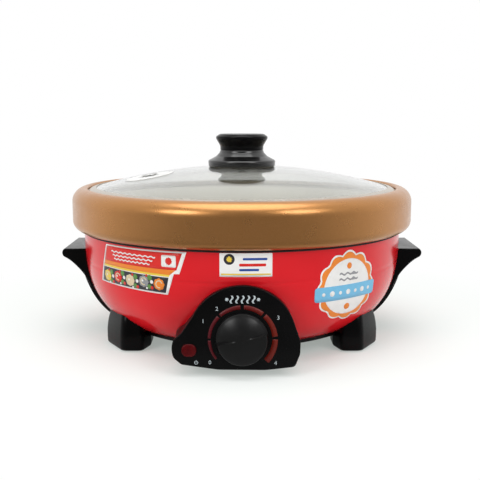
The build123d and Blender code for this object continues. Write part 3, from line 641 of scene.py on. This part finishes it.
def makePot():
    look = potLook
    radius, wall, corner = look["radius"], look["wall"], look["corner"]
    middle = radius - corner
    centre = look["bottom"] + corner
    outside = [(0, look["bottom"])] + arc(middle, centre, corner, -90, 0, 16)
    inside = [(0, look["bottom"] + wall)] + arc(middle, centre, corner - wall, -90, 0, 16)
    ledge, inner, top = look["ledge"], look["ledgeRadius"], look["top"]
    outer = inner + look["rimSheet"]
    rim = softLine([(radius, ledge - 4, 1), (outer, ledge - 1.5, 1), (outer, top, 0.5), (inner, top, 0.5),
                    (inner, ledge, 0.8), (radius - wall, ledge - 1.5, 1.5)], closed=False)
    outline = outside + [tuple(point) for point in rim] + inside[::-1]
    settle(keepPiece("pot", turned("pot", outline, 224)), "pot", "pot_lining", ["inner_pot"])


makeBand()
makeSeal()
makePot()
print("band, seal and pot made")


lidLook = {"glassRadius": 150.5, "apex": 167.2, "edge": 145.5, "thickness": 4, "hole": 3, "vent": (-91, -23),
           "ventCut": 4.6, "rimRadius": 152.5, "rimInner": 145.6, "rimSheet": 0.9, "rimFoot": 138.3,
           "rimGap": 0.05}
glassRise = lidLook["apex"] - lidLook["edge"]
glassSphere = (lidLook["glassRadius"] ** 2 + glassRise ** 2) / (2 * glassRise)


def glassHeight(radius):
    return lidLook["apex"] - glassSphere + math.sqrt(glassSphere ** 2 - radius ** 2)


# frame whose Z is the glass's outward normal at a place
def onGlass(across, back):
    height = glassHeight(math.hypot(across, back))
    up = Vector((across, back, height + glassSphere - lidLook["apex"])).normalized()
    side = Vector((1, 0, 0)).cross(up).normalized()
    along = side.cross(up)
    place = Matrix((along, side, up)).transposed().to_4x4()
    place.translation = Vector((across, back, height)) * mm
    return place


def makeGlass():
    look = lidLook
    outer, edge, foot = look["glassRadius"], look["edge"], look["edge"] - look["thickness"]
    steps = 60
    reach = [look["hole"] + (outer - 0.8 - look["hole"]) * step / steps for step in range(steps + 1)]
    top = [(radius, glassHeight(radius)) for radius in reach]
    under = [(radius, height - look["thickness"]) for radius, height in top]
    # both faces end in a slightly rounded edge
    top += [(outer - 0.25, edge - 0.25), (outer, edge - 0.9)]
    under += [(outer - 0.25, foot + 0.2), (outer, foot + 0.8)]
    glass = keepPiece("lidGlass", turned("lidGlass", top + under[::-1], 224))
    hole = look["ventCut"] * mm
    shape = bmesh.new()
    bmesh.ops.create_cone(shape, cap_ends=True, segments=48, radius1=hole, radius2=hole, depth=20 * mm,
                          matrix=onGlass(*look["vent"]))
    cutOut(glass, [bareObject("ventCutter", meshOf("ventCutter", shape))])
    smoothed(glass.data, 40)
    settle(glass, "lid", "clear_glass", ["lid_glass"])


# steel folded over the glass's edge, with a skirt down to its foot
def makeLidRim():
    look = lidLook
    inner, outer, foot = look["rimInner"], look["rimRadius"], look["rimFoot"]
    edge, sheet, gap = look["edge"], look["rimSheet"], look["rimGap"]
    lip = glassHeight(inner) + gap
    under = lip - look["thickness"] - 2 * gap
    bore = look["glassRadius"] + gap
    points = [(inner, lip, 0.1), (inner, lip + sheet, 0.4), (look["glassRadius"], edge + sheet, 2.2),
              (outer, edge - 0.4, 1.2), (outer, foot, 0.3), (outer - 1, foot, 0.3),
              (inner, under - sheet, 0.4), (inner, under, 0.1),
              (bore, edge - look["thickness"] - gap, 0), (bore, edge + gap, 0)]
    rim = keepPiece("lidRim", turned("lidRim", softLine(points), 224))
    # the rim's steel is tinted tan, a painted reflection of the bronze band
    settle(rim, "lid", "polished_steel", ["lid_rim"], lidSteelPaintedReflection)


# lathed ring set on the glass at the vent; its heights are from the glass
eyeletLook = {"bore": 2.2, "tube": 4.5, "flange": 7, "foot": -5.35, "gap": 0.15, "top": 1.15}


def makeEyelet():
    bore, tube, flange, foot, gap, top = eyeletLook.values()
    outline = softLine([(bore, foot, 0.2), (bore, top, 0.6), (flange, top, 0.6), (flange, gap, 0.1),
                        (tube, gap, 0), (tube, foot, 0.2)])
    mesh = turned("ventEyelet", outline, 64)
    mesh.transform(onGlass(*lidLook["vent"]))
    settle(keepPiece("ventEyelet", mesh), "lid", "steel", ["vent_eyelet"])


# sections of (radius, height, corner radius), the skirt's from its base and the cap's from the seam
knobLook = {
    "base": 168, "seam": 183,
    "skirt": [(4, 0, 0), (16, 0, 0.5), (18, 3, 1), (29, 2, 1), (31, -1.6, 0.5), (33.4, -1.6, 1.4),
              (34, 4.4, 2.4), (30.4, 6.2, 4), (25.6, 8.8, 4), (22.3, 12.4, 6), (21.7, 14.5, 0), (21.2, 15, 0),
              (4, 15, 0)],
    "cap": [(0, 10, 0), (4, 10, 0), (4, 0.05, 0), (21.2, 0.05, 0), (21.7, 0.55, 0), (21.7, 4, 6),
            (26, 11.2, 4), (25.9, 13.4, 1.5), (22, 16, 5), (12, 16, 0), (0, 16, 0)],
}


def knobPart(name, foot, section):
    points = [(radius, foot + height, corner) for radius, height, corner in section]
    return keepPiece(name, turned(name, softLine(points, steps=8), 128), 40)


def makeKnob():
    look = knobLook
    skirt = knobPart("knobSkirt", look["base"], look["skirt"])
    settle(skirt, "lid", "black_bakelite", ["knob_skirt"], knobBlack)
    settle(knobPart("knobCap", look["seam"], look["cap"]), "lid", "black_bakelite", ["lid_knob"])


makeGlass()
makeLidRim()
makeEyelet()
makeKnob()
print("lid made")


# outline of the right front foot from above, with a corner radius, and how far it draws in with height
footLook = {"outline": [(92, -94, 6), (111, -94, 9), (130, -62, 9), (130, -50, 7), (118, -44, 6),
                        (96, -44, 6), (86, -54, 6), (86, -76, 8)],
            "inset": [(1, 1.6), (1.7, 0.7), (3, 0.2), (7, 0), (14, 0), (20, 0.7), (26, 2.0), (31, 3.8),
                      (34.6, 5.4)],
            "middle": (108, -69), "reach": 24, "bowlGap": 0.1}
feet = {"foot_front_right": ("frontRightFoot", 1, 1), "foot_front_left": ("frontLeftFoot", -1, 1),
        "foot_rear_right": ("backRightFoot", 1, -1), "foot_rear_left": ("backLeftFoot", -1, -1)}


def footMesh(name, mirrorX, mirrorY):
    look = footLook
    outline = softLine(look["outline"], steps=6)
    middle = Vector(look["middle"])
    shape = bmesh.new()
    rings = []
    for height, inset in look["inset"]:
        ring = []
        for point in outline:
            spot = middle + (point - middle) * (1 - inset / look["reach"])
            ring.append(shape.verts.new((spot.x * mirrorX * mm, spot.y * mirrorY * mm, height * mm)))
        rings.append(ring)
    for ring, following in zip(rings, rings[1:]):
        joinRows(shape, ring, following)
    shape.faces.new(rings[0])
    shape.faces.new(rings[-1])
    return meshOf(name, shape, outwards=True)


# solid of the bowl's outside, which the feet fit under
def bowlCutter():
    gap = footLook["bowlGap"]
    rows = [(radius + gap, height - gap) for gone, radius, height in bowlRows[::4]]
    outline = [(0, rows[0][1])] + rows + [(0, rows[-1][1])]
    return bareObject("bowlCutter", turned("bowlCutter", outline, 160))


def makeFeet():
    for node, (name, mirrorX, mirrorY) in feet.items():
        foot = keepPiece(name, footMesh(name, mirrorX, mirrorY))
        cutOut(foot, [bowlCutter()])
        smoothed(foot.data, 40)
        settle(foot, "base", "black_bakelite", [node])


# nodes whose solid is right but for its edges: the piece's name and how wide they are rounded
softNodes = {
    "side_bracket_left": ("leftHandle", 0.8), "side_bracket_right": ("rightHandle", 0.8),
    "base_tray": ("tray", 0), "control_housing": ("controlBox", 0.4),
    "power_inlet": ("inlet", 0.5), "lamp_lens": ("lampLens", 0.2),
}


def softenNodes():
    for node, (name, bevel) in softNodes.items():
        settle(softCopy(node, name, bevel), "base", slotOf[node], [node])


makeFeet()
softenNodes()
print("handles, feet, tray and inlet made")


# the dial is flat below its grip and falls away in a curve above it; depths are from the front
# each half: the turn it starts at, its middle's height, its depth at the rim and the rounding of its edge
dialLook = {"height": 33.6, "front": 175.4, "slope": 11.5, "backRadius": 22.3, "depth": 9.8, "taper": 9,
            "rim": 19.5, "halves": [(180, 0.8, 0.0, 1.6), (0, 1.4, 6.2, 0.6)],
            "columns": 48, "rows": 10, "edgeRows": 4,
            "back": [(22.3, 9.8), (20, 9.8), (20, 7.8), (6, 7.8), (6, 9.8), (3, 9.8), (3, 4.8)]}


# one line of points (across, up, depth) from the middle of the front, over the edge and down to the back
def dialColumn(turn, point, fall, rounding):
    look = dialLook
    taper = math.tan(math.radians(look["taper"]))
    middle = Vector((0, point))
    way = Vector((math.cos(turn), math.sin(turn)))
    reach = look["backRadius"]
    # the edge's depth and its distance follow from each other, so a few rounds settle both
    for attempt in range(8):
        low = fall * (reach / look["rim"]) ** 2
        edge = look["backRadius"] - (look["depth"] - low) * taper - rounding
        reach = math.sqrt((middle @ way) ** 2 + edge ** 2 - middle @ middle) - middle @ way
    column = []
    for row in range(look["rows"] + 1):
        distance = reach * row / look["rows"]
        spot = middle + way * distance
        column.append((spot.x, spot.y, low * (row / look["rows"]) ** 2))
    outward = (middle + way * reach).normalized()
    for row in range(1, look["edgeRows"] + 1):
        bend = math.radians(90 * row / look["edgeRows"])
        spot = outward * (edge + rounding * math.sin(bend))
        column.append((spot.x, spot.y, low + rounding * (1 - math.cos(bend))))
    for radius, depth in look["back"]:
        spot = outward * radius
        column.append((spot.x, spot.y, depth))
    return column


def makeDial():
    look = dialLook
    shape = bmesh.new()
    place = Matrix.Translation(Vector((0, -look["front"], look["height"])) * mm)
    place = place @ Matrix.Rotation(math.radians(-look["slope"]), 4, "Y")
    columns = []
    for start, point, fall, rounding in look["halves"]:
        middle = shape.verts.new(place @ (Vector((0, 0, point)) * mm))
        for index in range(look["columns"] + 1):
            turn = math.radians(start + 180 * index / look["columns"])
            column = [middle]
            for across, up, depth in dialColumn(turn, point, fall, rounding)[1:]:
                column.append(shape.verts.new(place @ (Vector((across, depth, up)) * mm)))
            columns.append(column)
    for column, following in zip(columns, columns[1:] + columns[:1]):
        joinRows(shape, column, following, closed=False)
    shape.faces.new([column[-1] for column in columns])
    settle(keepPiece("dial", meshOf("dial", shape, outwards=True), 40), "dial", "dial_black", ["dial_knob"])


makeDial()
print("dial made")


# the panel's outline: an arc over the dial with the angle and the corner radius of each of its ends,
# then corners (across, up, radius) from its right end round the foot to its left end
panelLook = {"face": 165, "back": 162, "bevel": 0.9, "scaleHeight": 33, "crown": 45.6,
             "crownEnds": [(155, 9), (18, 14)],
             "corners": [(48.9, 31, 14), (48.6, 20, 10), (44.4, 9, 4.5), (20, 6.2, 60), (-20, 6.5, 60),
                         (-51, 11, 6), (-58, 17, 8), (-59.3, 24.5, 20), (-58, 32, 8), (-51, 38, 9)]}


def panelOutline():
    look = panelLook
    (left, leftRadius), (right, rightRadius) = look["crownEnds"]
    crown = [(across, up, 0) for across, up in arc(0, look["scaleHeight"], look["crown"], left, right, 23)]
    crown[0] = (*crown[0][:2], leftRadius)
    crown[-1] = (*crown[-1][:2], rightRadius)
    return softLine(crown + look["corners"], steps=8)


def makePanel():
    mesh = barAlongY("controlPanel", panelOutline(), -panelLook["face"], -panelLook["back"])
    panel = keepPiece("controlPanel", mesh, 30)
    softenEdges(panel, panelLook["bevel"], 60, 50)
    settle(panel, "base", "panel_black", ["control_panel"])


# one strip per arc of the heat scale, printed a little proud of the panel and wider towards the hot end
scaleLook = {"radius": 27.4, "first": 218, "last": -43, "thin": 2.0, "growth": 3.2, "lift": 0.06,
             "spans": [(218, 182), (178, 136), (132, 93), (87, 52), (47, 5), (0, -43)], "step": 3,
             "thickness": 0.05}


def makeScale():
    look = scaleLook
    depth = -(panelLook["face"] + look["lift"])
    shape = bmesh.new()
    for start, end in look["spans"]:
        count = max(round((start - end) / look["step"]), 2)
        rows = []
        for index in range(count + 1):
            turn = start + (end - start) * index / count
            width = look["thin"] + look["growth"] * (look["first"] - turn) / (look["first"] - look["last"])
            row = []
            for side in (-0.5, 0.5):
                radius = look["radius"] + side * width
                across = radius * math.cos(math.radians(turn))
                up = panelLook["scaleHeight"] + radius * math.sin(math.radians(turn))
                row.append(shape.verts.new((across * mm, depth * mm, up * mm)))
            rows.append(row)
        for row, following in zip(rows, rows[1:]):
            joinRows(shape, row, following, closed=False)
    scale = thicken(keepPiece("heatScale", meshOf("heatScale", shape)), look["thickness"])
    settle(scale, "base", "scale_red", ["scale_arcs"])


panelMarks = {"size": 4.8, "relief": 0.04, "lift": 0.05,
              "numbers": {"0": (-27, 13), "1": (-32.5, 48.5), "2": (-21, 59), "3": (30, 51.5),
                          "4": (28, 12.5)}}


def makeNumbers():
    look = panelMarks
    joined = bmesh.new()
    for number, (across, up) in look["numbers"].items():
        text = bpy.data.curves.new("number", "FONT")
        text.body = number
        text.size = look["size"] * mm
        text.align_x = "CENTER"
        text.align_y = "CENTER"
        text.extrude = look["relief"] * mm
        holder = bareObject("number", text)
        mesh = plainMesh(holder)
        place = Matrix.Translation(Vector((across, -panelLook["face"] - look["lift"], up)) * mm)
        mesh.transform(place @ Matrix.Rotation(math.pi / 2, 4, "X"))
        joined.from_mesh(mesh)
        bpy.data.objects.remove(holder)
    numbers = keepPiece("dialNumbers", meshOf("dialNumbers", joined))
    settle(numbers, "base", "scale_red", material=inkFilms["pale"])


makePanel()
makeScale()
makeNumbers()
print("control panel made")


# how high the first film lies, how much higher each layer is, its thickness, and how finely it is cut
filmLook = {"first": 0.08, "step": 0.045, "thickness": 0.04, "cell": 4.0}


# a film of ink or paper: flat outlines, cut fine enough to bend, laid on a surface by a rule
def film(name, body, ink, outlines, lay, layer, cell):
    shape = bmesh.new()
    for outline in outlines:
        shape.faces.new([shape.verts.new((across, up, 0)) for across, up in outline])
    bmesh.ops.triangulate(shape, faces=shape.faces)
    for axis in (0, 1):
        reach = [vert.co[axis] for vert in shape.verts]
        cutAt = min(reach) + cell
        while cutAt < max(reach):
            spot = Vector((cutAt, cutAt, 0))
            facing = Vector((1 - axis, axis, 0))
            everything = shape.verts[:] + shape.edges[:] + shape.faces[:]
            bmesh.ops.bisect_plane(shape, geom=everything, plane_co=spot, plane_no=facing, dist=1e-5)
            cutAt += cell
    for vert in shape.verts:
        vert.co = lay(vert.co.x, vert.co.y, filmLook["first"] + layer * filmLook["step"])
    piece = thicken(keepPiece(name, meshOf(name, shape)), filmLook["thickness"])
    settle(piece, body, "scale_red", material=inkFilms[ink])


# lays the films of one label, each given as its ink, its layer and its outlines
def layFilms(films, body, lay, cell=filmLook["cell"]):
    for name, (ink, layer, outlines) in films.items():
        film(name, body, ink, outlines, lay, layer, cell)


def disc(across, up, radius, points=28, scallops=0, depth=0.0):
    outline = []
    for index in range(points):
        turn = 2 * math.pi * index / points
        reach = radius - depth * (1 - abs(math.cos(scallops * turn / 2)))
        outline.append((across + reach * math.cos(turn), up + reach * math.sin(turn)))
    return outline


# ring pieces between two radii, from one angle to another in degrees
def ringParts(across, up, inner, outer, start, end, pieces):
    near = arc(across, up, inner, start, end, pieces)
    far = arc(across, up, outer, start, end, pieces)
    return [[near[index], far[index], far[index + 1], near[index + 1]] for index in range(pieces)]


# a wavy stroke from one point to another
def wavyStroke(start, end, swing, waves, width, points=24):
    first = Vector(start)
    way = Vector(end) - first
    aside = Vector((-way.y, way.x)).normalized()
    sides = ([], [])
    for index in range(points + 1):
        share = index / points
        middle = first + way * share + aside * swing * math.sin(2 * math.pi * waves * share)
        for side, offset in zip(sides, (-width / 2, width / 2)):
            side.append(tuple(middle + aside * offset))
    return sides[0] + sides[1][::-1]


# place on the bowl: along its wall from the front, and up from the crown (down is negative)
def onBowl(along, up, lift):
    radius = bowlLook["Top Radius"]
    height = bowlLook["Crown Height"] + up
    lean = 0.0
    if up < 0:
        index = next(index for index, row in enumerate(bowlRows) if row[0] >= -up)
        upper, lower = bowlRows[index - 1], bowlRows[index]
        share = (-up - upper[0]) / (lower[0] - upper[0])
        radius = upper[1] + (lower[1] - upper[1]) * share
        height = upper[2] + (lower[2] - upper[2]) * share
        lean = math.atan2(upper[1] - lower[1], upper[2] - lower[2])
    turn = along / radius
    radius += lift * math.cos(lean)
    height -= lift * math.sin(lean)
    return Vector((radius * math.sin(turn), -radius * math.cos(turn), height)) * mm


def onLid(across, back, lift):
    x = lidLook["vent"][0] + across
    y = lidLook["vent"][1] + back
    return Vector((x, y, glassHeight(math.hypot(x, y)) + lift)) * mm


def onPanel(across, up, lift):
    return Vector((across, -panelLook["face"] - lift, up)) * mm


# left label: a paper with a step in its right edge, a red field with rows of waves and a white card,
# an orange and a yellow stripe, and a dark strip
leftLabel = {
    "leftPaper": ("paper", 0, [[(-139.8, 3.2), (-151.5, -32.8), (-65.3, -34.5), (-59.1, -15.2),
                                (-53.9, -15.1), (-47.2, 4.4)]]),
    "leftField": ("red", 1, [[(-138.4, 2.0), (-142.6, -11.4), (-56.6, -12.0), (-51.2, 3.0)]]),
    "leftOrange": ("orange", 1, [[(-142.6, -11.4), (-143.9, -15.2), (-63.0, -16.4), (-57.4, -12.0)]]),
    "leftYellow": ("yellow", 1, [[(-143.9, -15.2), (-144.4, -17.0), (-63.8, -18.2), (-63.0, -16.4)]]),
    "leftStrip": ("dark", 1, [[(-144.6, -17.6), (-148.6, -31.6), (-67.2, -33.0), (-64.2, -18.9)]]),
    "leftCard": ("paper", 2, [bar(-71.0, -57.0, -9.6, 0.6, 1.5)]),
    "cardSun": ("red", 3, [disc(-64.0, -4.5, 3.4, 60, 12, 0.8)]),
    "leftWaves": ("white", 2, [wavyStroke((-131 + 2 * row, up), (-77 - 3 * row, up), 0.5, 9, 1.2, 90)
                               for row, up in enumerate((-2.2, -5.4, -8.6))]),
}
# coloured slices on its dark strip, and bits between them: place from a slice's middle, radius and points
sliceLook = {
    "inks": ["yellow", "red", "cream", "grey", "orange"], "first": -138.6, "step": 16.2, "height": -25.2,
    "rises": (-0.5, 0.6), "radius": 5.6, "rind": (2.6, 3.7, 20, 290, 14),
    "bits": {
        "leaves": ("green", 2, [(6.6, 4.0, 2.5, 16), (6.2, -4.2, 2.2, 16)]),
        "crumbs": ("paper", 3, [(8.6, 0.4, 1.7, 14), (-1.2, 0.6, 1.0, 12), (3.4, -5.9, 1.1, 12)]),
        "berries": ("red", 3, [(9.0, -5.0, 1.6, 14), (3.2, 5.6, 1.2, 12)]),
    },
}


def sliceFilms():
    look = sliceLook
    films = {}
    middles = []
    for index, ink in enumerate(look["inks"]):
        across = look["first"] + look["step"] * index
        up = look["height"] + look["rises"][index % 2]
        middles.append((across, up))
        films["slice" + ink.title()] = (ink, 2, [disc(across, up, look["radius"], 40, 8, 0.8)])
        films["rind" + ink.title()] = ("cream", 3, ringParts(across, up, *look["rind"]))
    for name, (ink, layer, bits) in look["bits"].items():
        outlines = []
        for across, up in middles[:-1]:
            for aside, rise, radius, points in bits:
                outlines.append(disc(across + aside, up + rise, radius, points))
        films[name] = (ink, layer, outlines)
    return films


# small label over the panel: a white card with a sun, bars and a stripe
frontLabel = {
    "frontPaper": ("paper", 0, [bar(-18.9, 25.2, -15.5, 4.6, 0.6)]),
    "frontDark": ("dark", 1, [disc(-10.8, -0.6, 4.6, 24)]),
    "frontSun": ("yellow", 2, [disc(-10.8, -0.6, 2.6, 20, 10, 0.7)]),
    "frontRed": ("red", 1, [bar(-2.5, 20.0, -6.6, -4.2, 1.0)]),
    "frontBlue": ("blue", 1, [bar(-2.5, 14.0, -10.6, -8.6, 0.9), bar(0.5, 21.0, -1.4, 0.6, 0.9)]),
    "frontStripe": ("yellow", 1, [bar(-17.6, 23.9, -13.9, -12.7)]),
}
badgeLook = {"along": 99.7, "up": -32.0, "radius": 34.5, "scallops": 12, "dotStep": 9,
             "dotRadii": (2.6, 1.7), "waveRises": (8.5, 13.5)}


# scalloped badge on the right: an orange border, a white field with waves and spots, a sky blue bar with dots
def badgeFilms():
    look = badgeLook
    across, up, radius, scallops = look["along"], look["up"], look["radius"], look["scallops"]
    dots = [disc(across + step * look["dotStep"], up - 3.5, look["dotRadii"][step % 2], 20)
            for step in range(-3, 4)]
    waves = [wavyStroke((across - 11, up + rise), (across + 11, up + rise), 0.8, 3, 1.6, 40)
             for rise in look["waveRises"]]
    return {
        "badgePaper": ("paper", 0, [disc(across, up, radius, 144, scallops, 3.4)]),
        "badgeBorder": ("orange", 1, [disc(across, up, radius - 1.8, 144, scallops, 3.2)]),
        "badgeField": ("white", 2, [disc(across, up, radius - 7.6, 64)]),
        "badgeBar": ("sky", 3, [bar(across - 36, across + 36, up - 10.5, up + 3.5, 3)]),
        "badgeDots": ("paper", 4, dots),
        "badgeWaves": ("grey", 3, waves),
        "badgeSpot": ("orange", 3, [disc(across, up + 20.5, 2.8, 24), disc(across, up - 18.5, 3.4, 24)]),
    }


# round paper on the glass about the vent, with two grey arcs
lidLabel = {
    "lidPaper": ("paper", 0, ringParts(0, 0, 8, 24, 0, 360, 48)),
    "lidMarks": ("grey", 1, ringParts(0, 0, 10.4, 11.2, 200, 330, 20)
                 + ringParts(0, 0, 20.8, 21.4, 20, 160, 24)),
}
heatMark = {"across": 0.4, "up": 67.0, "waves": 5, "pitch": 4.6, "height": 6.6, "stroke": 1.5, "swing": 0.9,
            "dot": 1.4, "dotGap": 1.6}
powerSign = ringParts(-38.5, 13.0, 1.15, 1.65, 120, 420, 20) + [bar(-38.75, -38.25, 12.8, 15.1)]


# heat waves between two dots at the top of the panel, and a power sign under the lamp
def panelFilms():
    look = heatMark
    strokes = []
    for index in range(look["waves"]):
        across = look["across"] + (index - (look["waves"] - 1) / 2) * look["pitch"]
        ends = [(across, look["up"] - look["height"] / 2), (across, look["up"] + look["height"] / 2)]
        strokes.append(wavyStroke(*ends, look["swing"], 1, look["stroke"]))
    edge = look["waves"] * look["pitch"] / 2 + look["dotGap"]
    strokes += [disc(look["across"] + side * edge, look["up"], look["dot"], 20) for side in (-1, 1)]
    return {"heatMark": ("pale", 0, strokes), "powerMark": ("pale", 0, powerSign)}


layFilms(leftLabel, "base", onBowl)
layFilms(sliceFilms(), "base", onBowl)
layFilms(frontLabel, "base", onBowl)
layFilms(badgeFilms(), "base", onBowl)
layFilms(lidLabel, "lid", onLid, 5.0)
layFilms(panelFilms(), "base", onPanel)
print("labels and marks made")


# screws: one lathed head with a cross, set at each place by a tree of nodes
screwLook = {"headRadius": 4.0, "shankRadius": 2.0, "crossLength": 4.6, "crossWidth": 1.0, "crossDepth": 1.1}
screwSets = {
    "traySet": {"node": "tray_screws", "head": 2.2, "shank": 11.6, "lean": (math.pi, 0, 0),
                "spots": [(x, y, 5.15) for x, y in arc(0, 0, 60, -90, 150, 2)]},
    "footSet": {"node": "foot_screws", "head": 2.4, "shank": 11.7, "lean": (0, 0, 0),
                "spots": [(x, y, 17.2) for x in (-92, 92) for y in (-66, 66)]},
    "leftArmSet": {"node": "bracket_screws", "head": 2.0, "shank": 13.3, "lean": (0, math.pi / 2, 0),
                   "spots": [(-153.7, y, 80) for y in (-16, 16)]},
    "rightArmSet": {"node": "bracket_screws", "head": 2.0, "shank": 13.3, "lean": (0, -math.pi / 2, 0),
                    "spots": [(153.7, y, 80) for y in (-16, 16)]},
}


# stands with the underside of its head on the origin and its cross facing up; a cutter of each bar of the
# cross is 4 mm high and starts a cross's depth below the top of the head
def screwMesh(name, head, shank):
    look = screwLook
    outer, inner = look["headRadius"], look["shankRadius"]
    outline = softLine([(0, -shank, 0), (inner - 0.6, -shank, 0), (inner, 0.6 - shank, 0), (inner, 0, 0),
                        (outer, 0, 0.2), (outer, 0.45 * head, 0.9), (0.7 * outer, head, 1.6), (0, head, 0)])
    screw = keepPiece(name, turned(name, outline, 48))
    cutters = []
    bars = [(look["crossLength"], look["crossWidth"]), (look["crossWidth"], look["crossLength"])]
    for length, width in bars:
        shape = bmesh.new()
        bmesh.ops.create_cube(shape, size=1)
        for vert in shape.verts:
            rise = vert.co.z * 4 + 2 + head - look["crossDepth"]
            vert.co = Vector((vert.co.x * length, vert.co.y * width, rise)) * mm
        cutters.append(bareObject("cross", meshOf("cross", shape)))
    return cutOut(screw, cutters)


def screwTree():
    tree, given = startTree("placedScrews", {"Geometry": "Geometry", "Screw": "Object", "Lean": "Vector",
                                             "Seed": "Int", "Finish": "Material"})
    screw = addNode(tree, "GeometryNodeObjectInfo", {"Object": given["Screw"], "As Instance": True})
    lean = addNode(tree, "FunctionNodeEulerToRotation", {0: given["Lean"]})
    placed = addNode(tree, "GeometryNodeInstanceOnPoints", {
        "Points": given["Geometry"], "Instance": screw.outputs["Geometry"], "Rotation": lean.outputs[0]})
    # each screw stops at a turn of its own
    turn = addNode(tree, "FunctionNodeRandomValue", {2: 0.0, 3: math.pi, "Seed": given["Seed"]},
                   data_type="FLOAT")
    spin = addNode(tree, "ShaderNodeCombineXYZ", {"Z": turn.outputs[1]})
    spun = addNode(tree, "GeometryNodeRotateInstances", {
        "Instances": placed.outputs[0], "Rotation": spin.outputs[0], "Local Space": True})
    return endTree(tree, spun.outputs[0], given["Finish"])


def makeScrews():
    tree = screwTree()
    for seed, (name, look) in enumerate(screwSets.items()):
        screw = screwMesh("screw", look["head"], look["shank"])
        inputs = {"Screw": screw, "Lean": look["lean"], "Seed": seed + 1, "Finish": finishes["steel"]}
        screws = grown(name, tree, inputs, look["spots"])
        bpy.data.objects.remove(screw)
        smoothed(screws.data, 35)
        settle(screws, "base", "steel", [look["node"]])


makeScrews()
print("screws made")


# the CAD nodes that stay visible get the same finishes
for name, node in nodes.items():
    node.data.materials.clear()
    node.data.materials.append(finishes[slotOf[name]])


# the floor fades to plain white away from its middle, and is dark in front in reflections, as the room is
floorLook = {"size": 12.0, "near": 0.35, "fadeStart": 0.12, "fadeEnd": 0.4, "nearTint": (0.93, 1.0, 0.95),
             "glossNear": 0.25, "glossFar": 0.95, "glossStart": 0.12, "glossEnd": 0.25}
# a white room for the camera and the glass, whose front part is dark in reflections
roomLook = {"diffuse": 0.5, "frontGloss": 0.17, "backGloss": 1.0, "frontEdge": -0.85, "backEdge": 0.2}


# how bright the room is in reflections, by how far towards the back they look
def roomGloss(tree, ahead):
    look = roomLook
    return between(tree, ahead, look["frontGloss"], look["backGloss"], look["frontEdge"], look["backEdge"])


def paleFloor():
    look = floorLook
    material, tree, shader, place = startFinish("paleFloor", {"Roughness": 0.8, "Specular IOR Level": 0.2})
    cloud = noise(tree, place, 3)
    tree.links.new(shades(tree, cloud, (0.9, 0.9, 0.9), (0.93, 0.93, 0.93)), shader.inputs["Base Color"])
    away = addNode(tree, "ShaderNodeVectorMath", {0: place}, operation="LENGTH").outputs["Value"]
    path = addNode(tree, "ShaderNodeLightPath").outputs
    straight = maths(tree, "MAXIMUM", path["Is Camera Ray"], path["Is Transmission Ray"])
    fade = between(tree, away, look["near"], 1, look["fadeStart"], look["fadeEnd"])
    shine = between(tree, away, look["glossNear"], look["glossFar"], look["glossStart"], look["glossEnd"])
    share = maths(tree, "MAXIMUM", maths(tree, "MULTIPLY", straight, fade),
                  maths(tree, "MULTIPLY", path["Is Glossy Ray"], shine))
    ahead = maths(tree, "DIVIDE", axisOf(tree, place, "Y"), maths(tree, "MAXIMUM", away, 0.01))
    darker = maths(tree, "SUBTRACT", 1, roomGloss(tree, ahead))
    lost = maths(tree, "MULTIPLY", path["Is Glossy Ray"], darker)
    # near the middle the floor's glow has a faint green-blue painted tint that offsets the pink light the red bowl
    # throws on it
    tint = shades(tree, away, look["nearTint"], (1, 1, 1), look["fadeStart"], look["fadeEnd"])
    white = addNode(tree, "ShaderNodeEmission", {"Color": tint, "Strength": maths(tree, "SUBTRACT", 1, lost)})
    mixed(tree, share, shader, white)
    return material


def makeFloor():
    shape = bmesh.new()
    bmesh.ops.create_circle(shape, cap_ends=True, segments=96, radius=floorLook["size"])
    floor = bareObject("floor", meshOf("floor", shape))
    floor.data.materials.append(paleFloor())


def lightWorld():
    world = bpy.data.worlds.new("studio")
    scene.world = world
    world.use_nodes = True
    tree = world.node_tree
    tree.nodes.clear()
    path = addNode(tree, "ShaderNodeLightPath").outputs
    ahead = axisOf(tree, addNode(tree, "ShaderNodeTexCoord").outputs["Generated"], "Y")
    mirrored = maths(tree, "MULTIPLY", path["Is Glossy Ray"], roomGloss(tree, ahead))
    straight = maths(tree, "MAXIMUM", path["Is Camera Ray"], path["Is Transmission Ray"])
    spread = maths(tree, "MULTIPLY", path["Is Diffuse Ray"], roomLook["diffuse"])
    strength = maths(tree, "MAXIMUM", maths(tree, "MAXIMUM", straight, mirrored), spread)
    glow = addNode(tree, "ShaderNodeBackground", {"Color": (1, 1, 1, 1), "Strength": strength})
    end = addNode(tree, "ShaderNodeOutputWorld")
    tree.links.new(glow.outputs[0], end.inputs["Surface"])


# soft boxes: place in metres, size in metres and power in watts
softBoxes = {
    "overhead": ((0.0, -0.2, 1.9), 1.8, 22.0),
    "leftFront": ((-1.3, -1.5, 1.3), 0.9, 12.0),
    "rightFront": ((1.2, -1.4, 1.4), 0.9, 10.0),
}
lampTarget = Vector((0, 0, 0.1))


def hangLamps():
    for name, (place, size, power) in softBoxes.items():
        lamp = bpy.data.lights.new(name, "AREA")
        lamp.shape = "DISK"
        lamp.size = size
        lamp.energy = power
        holder = bareObject(name, lamp)
        aim = (lampTarget - Vector(place)).to_track_quat("-Z", "Y").to_matrix().to_4x4()
        holder.matrix_world = Matrix.Translation(place) @ aim


makeFloor()
lightWorld()
hangLamps()
scene.view_settings.view_transform = "Standard"
print("studio ready")
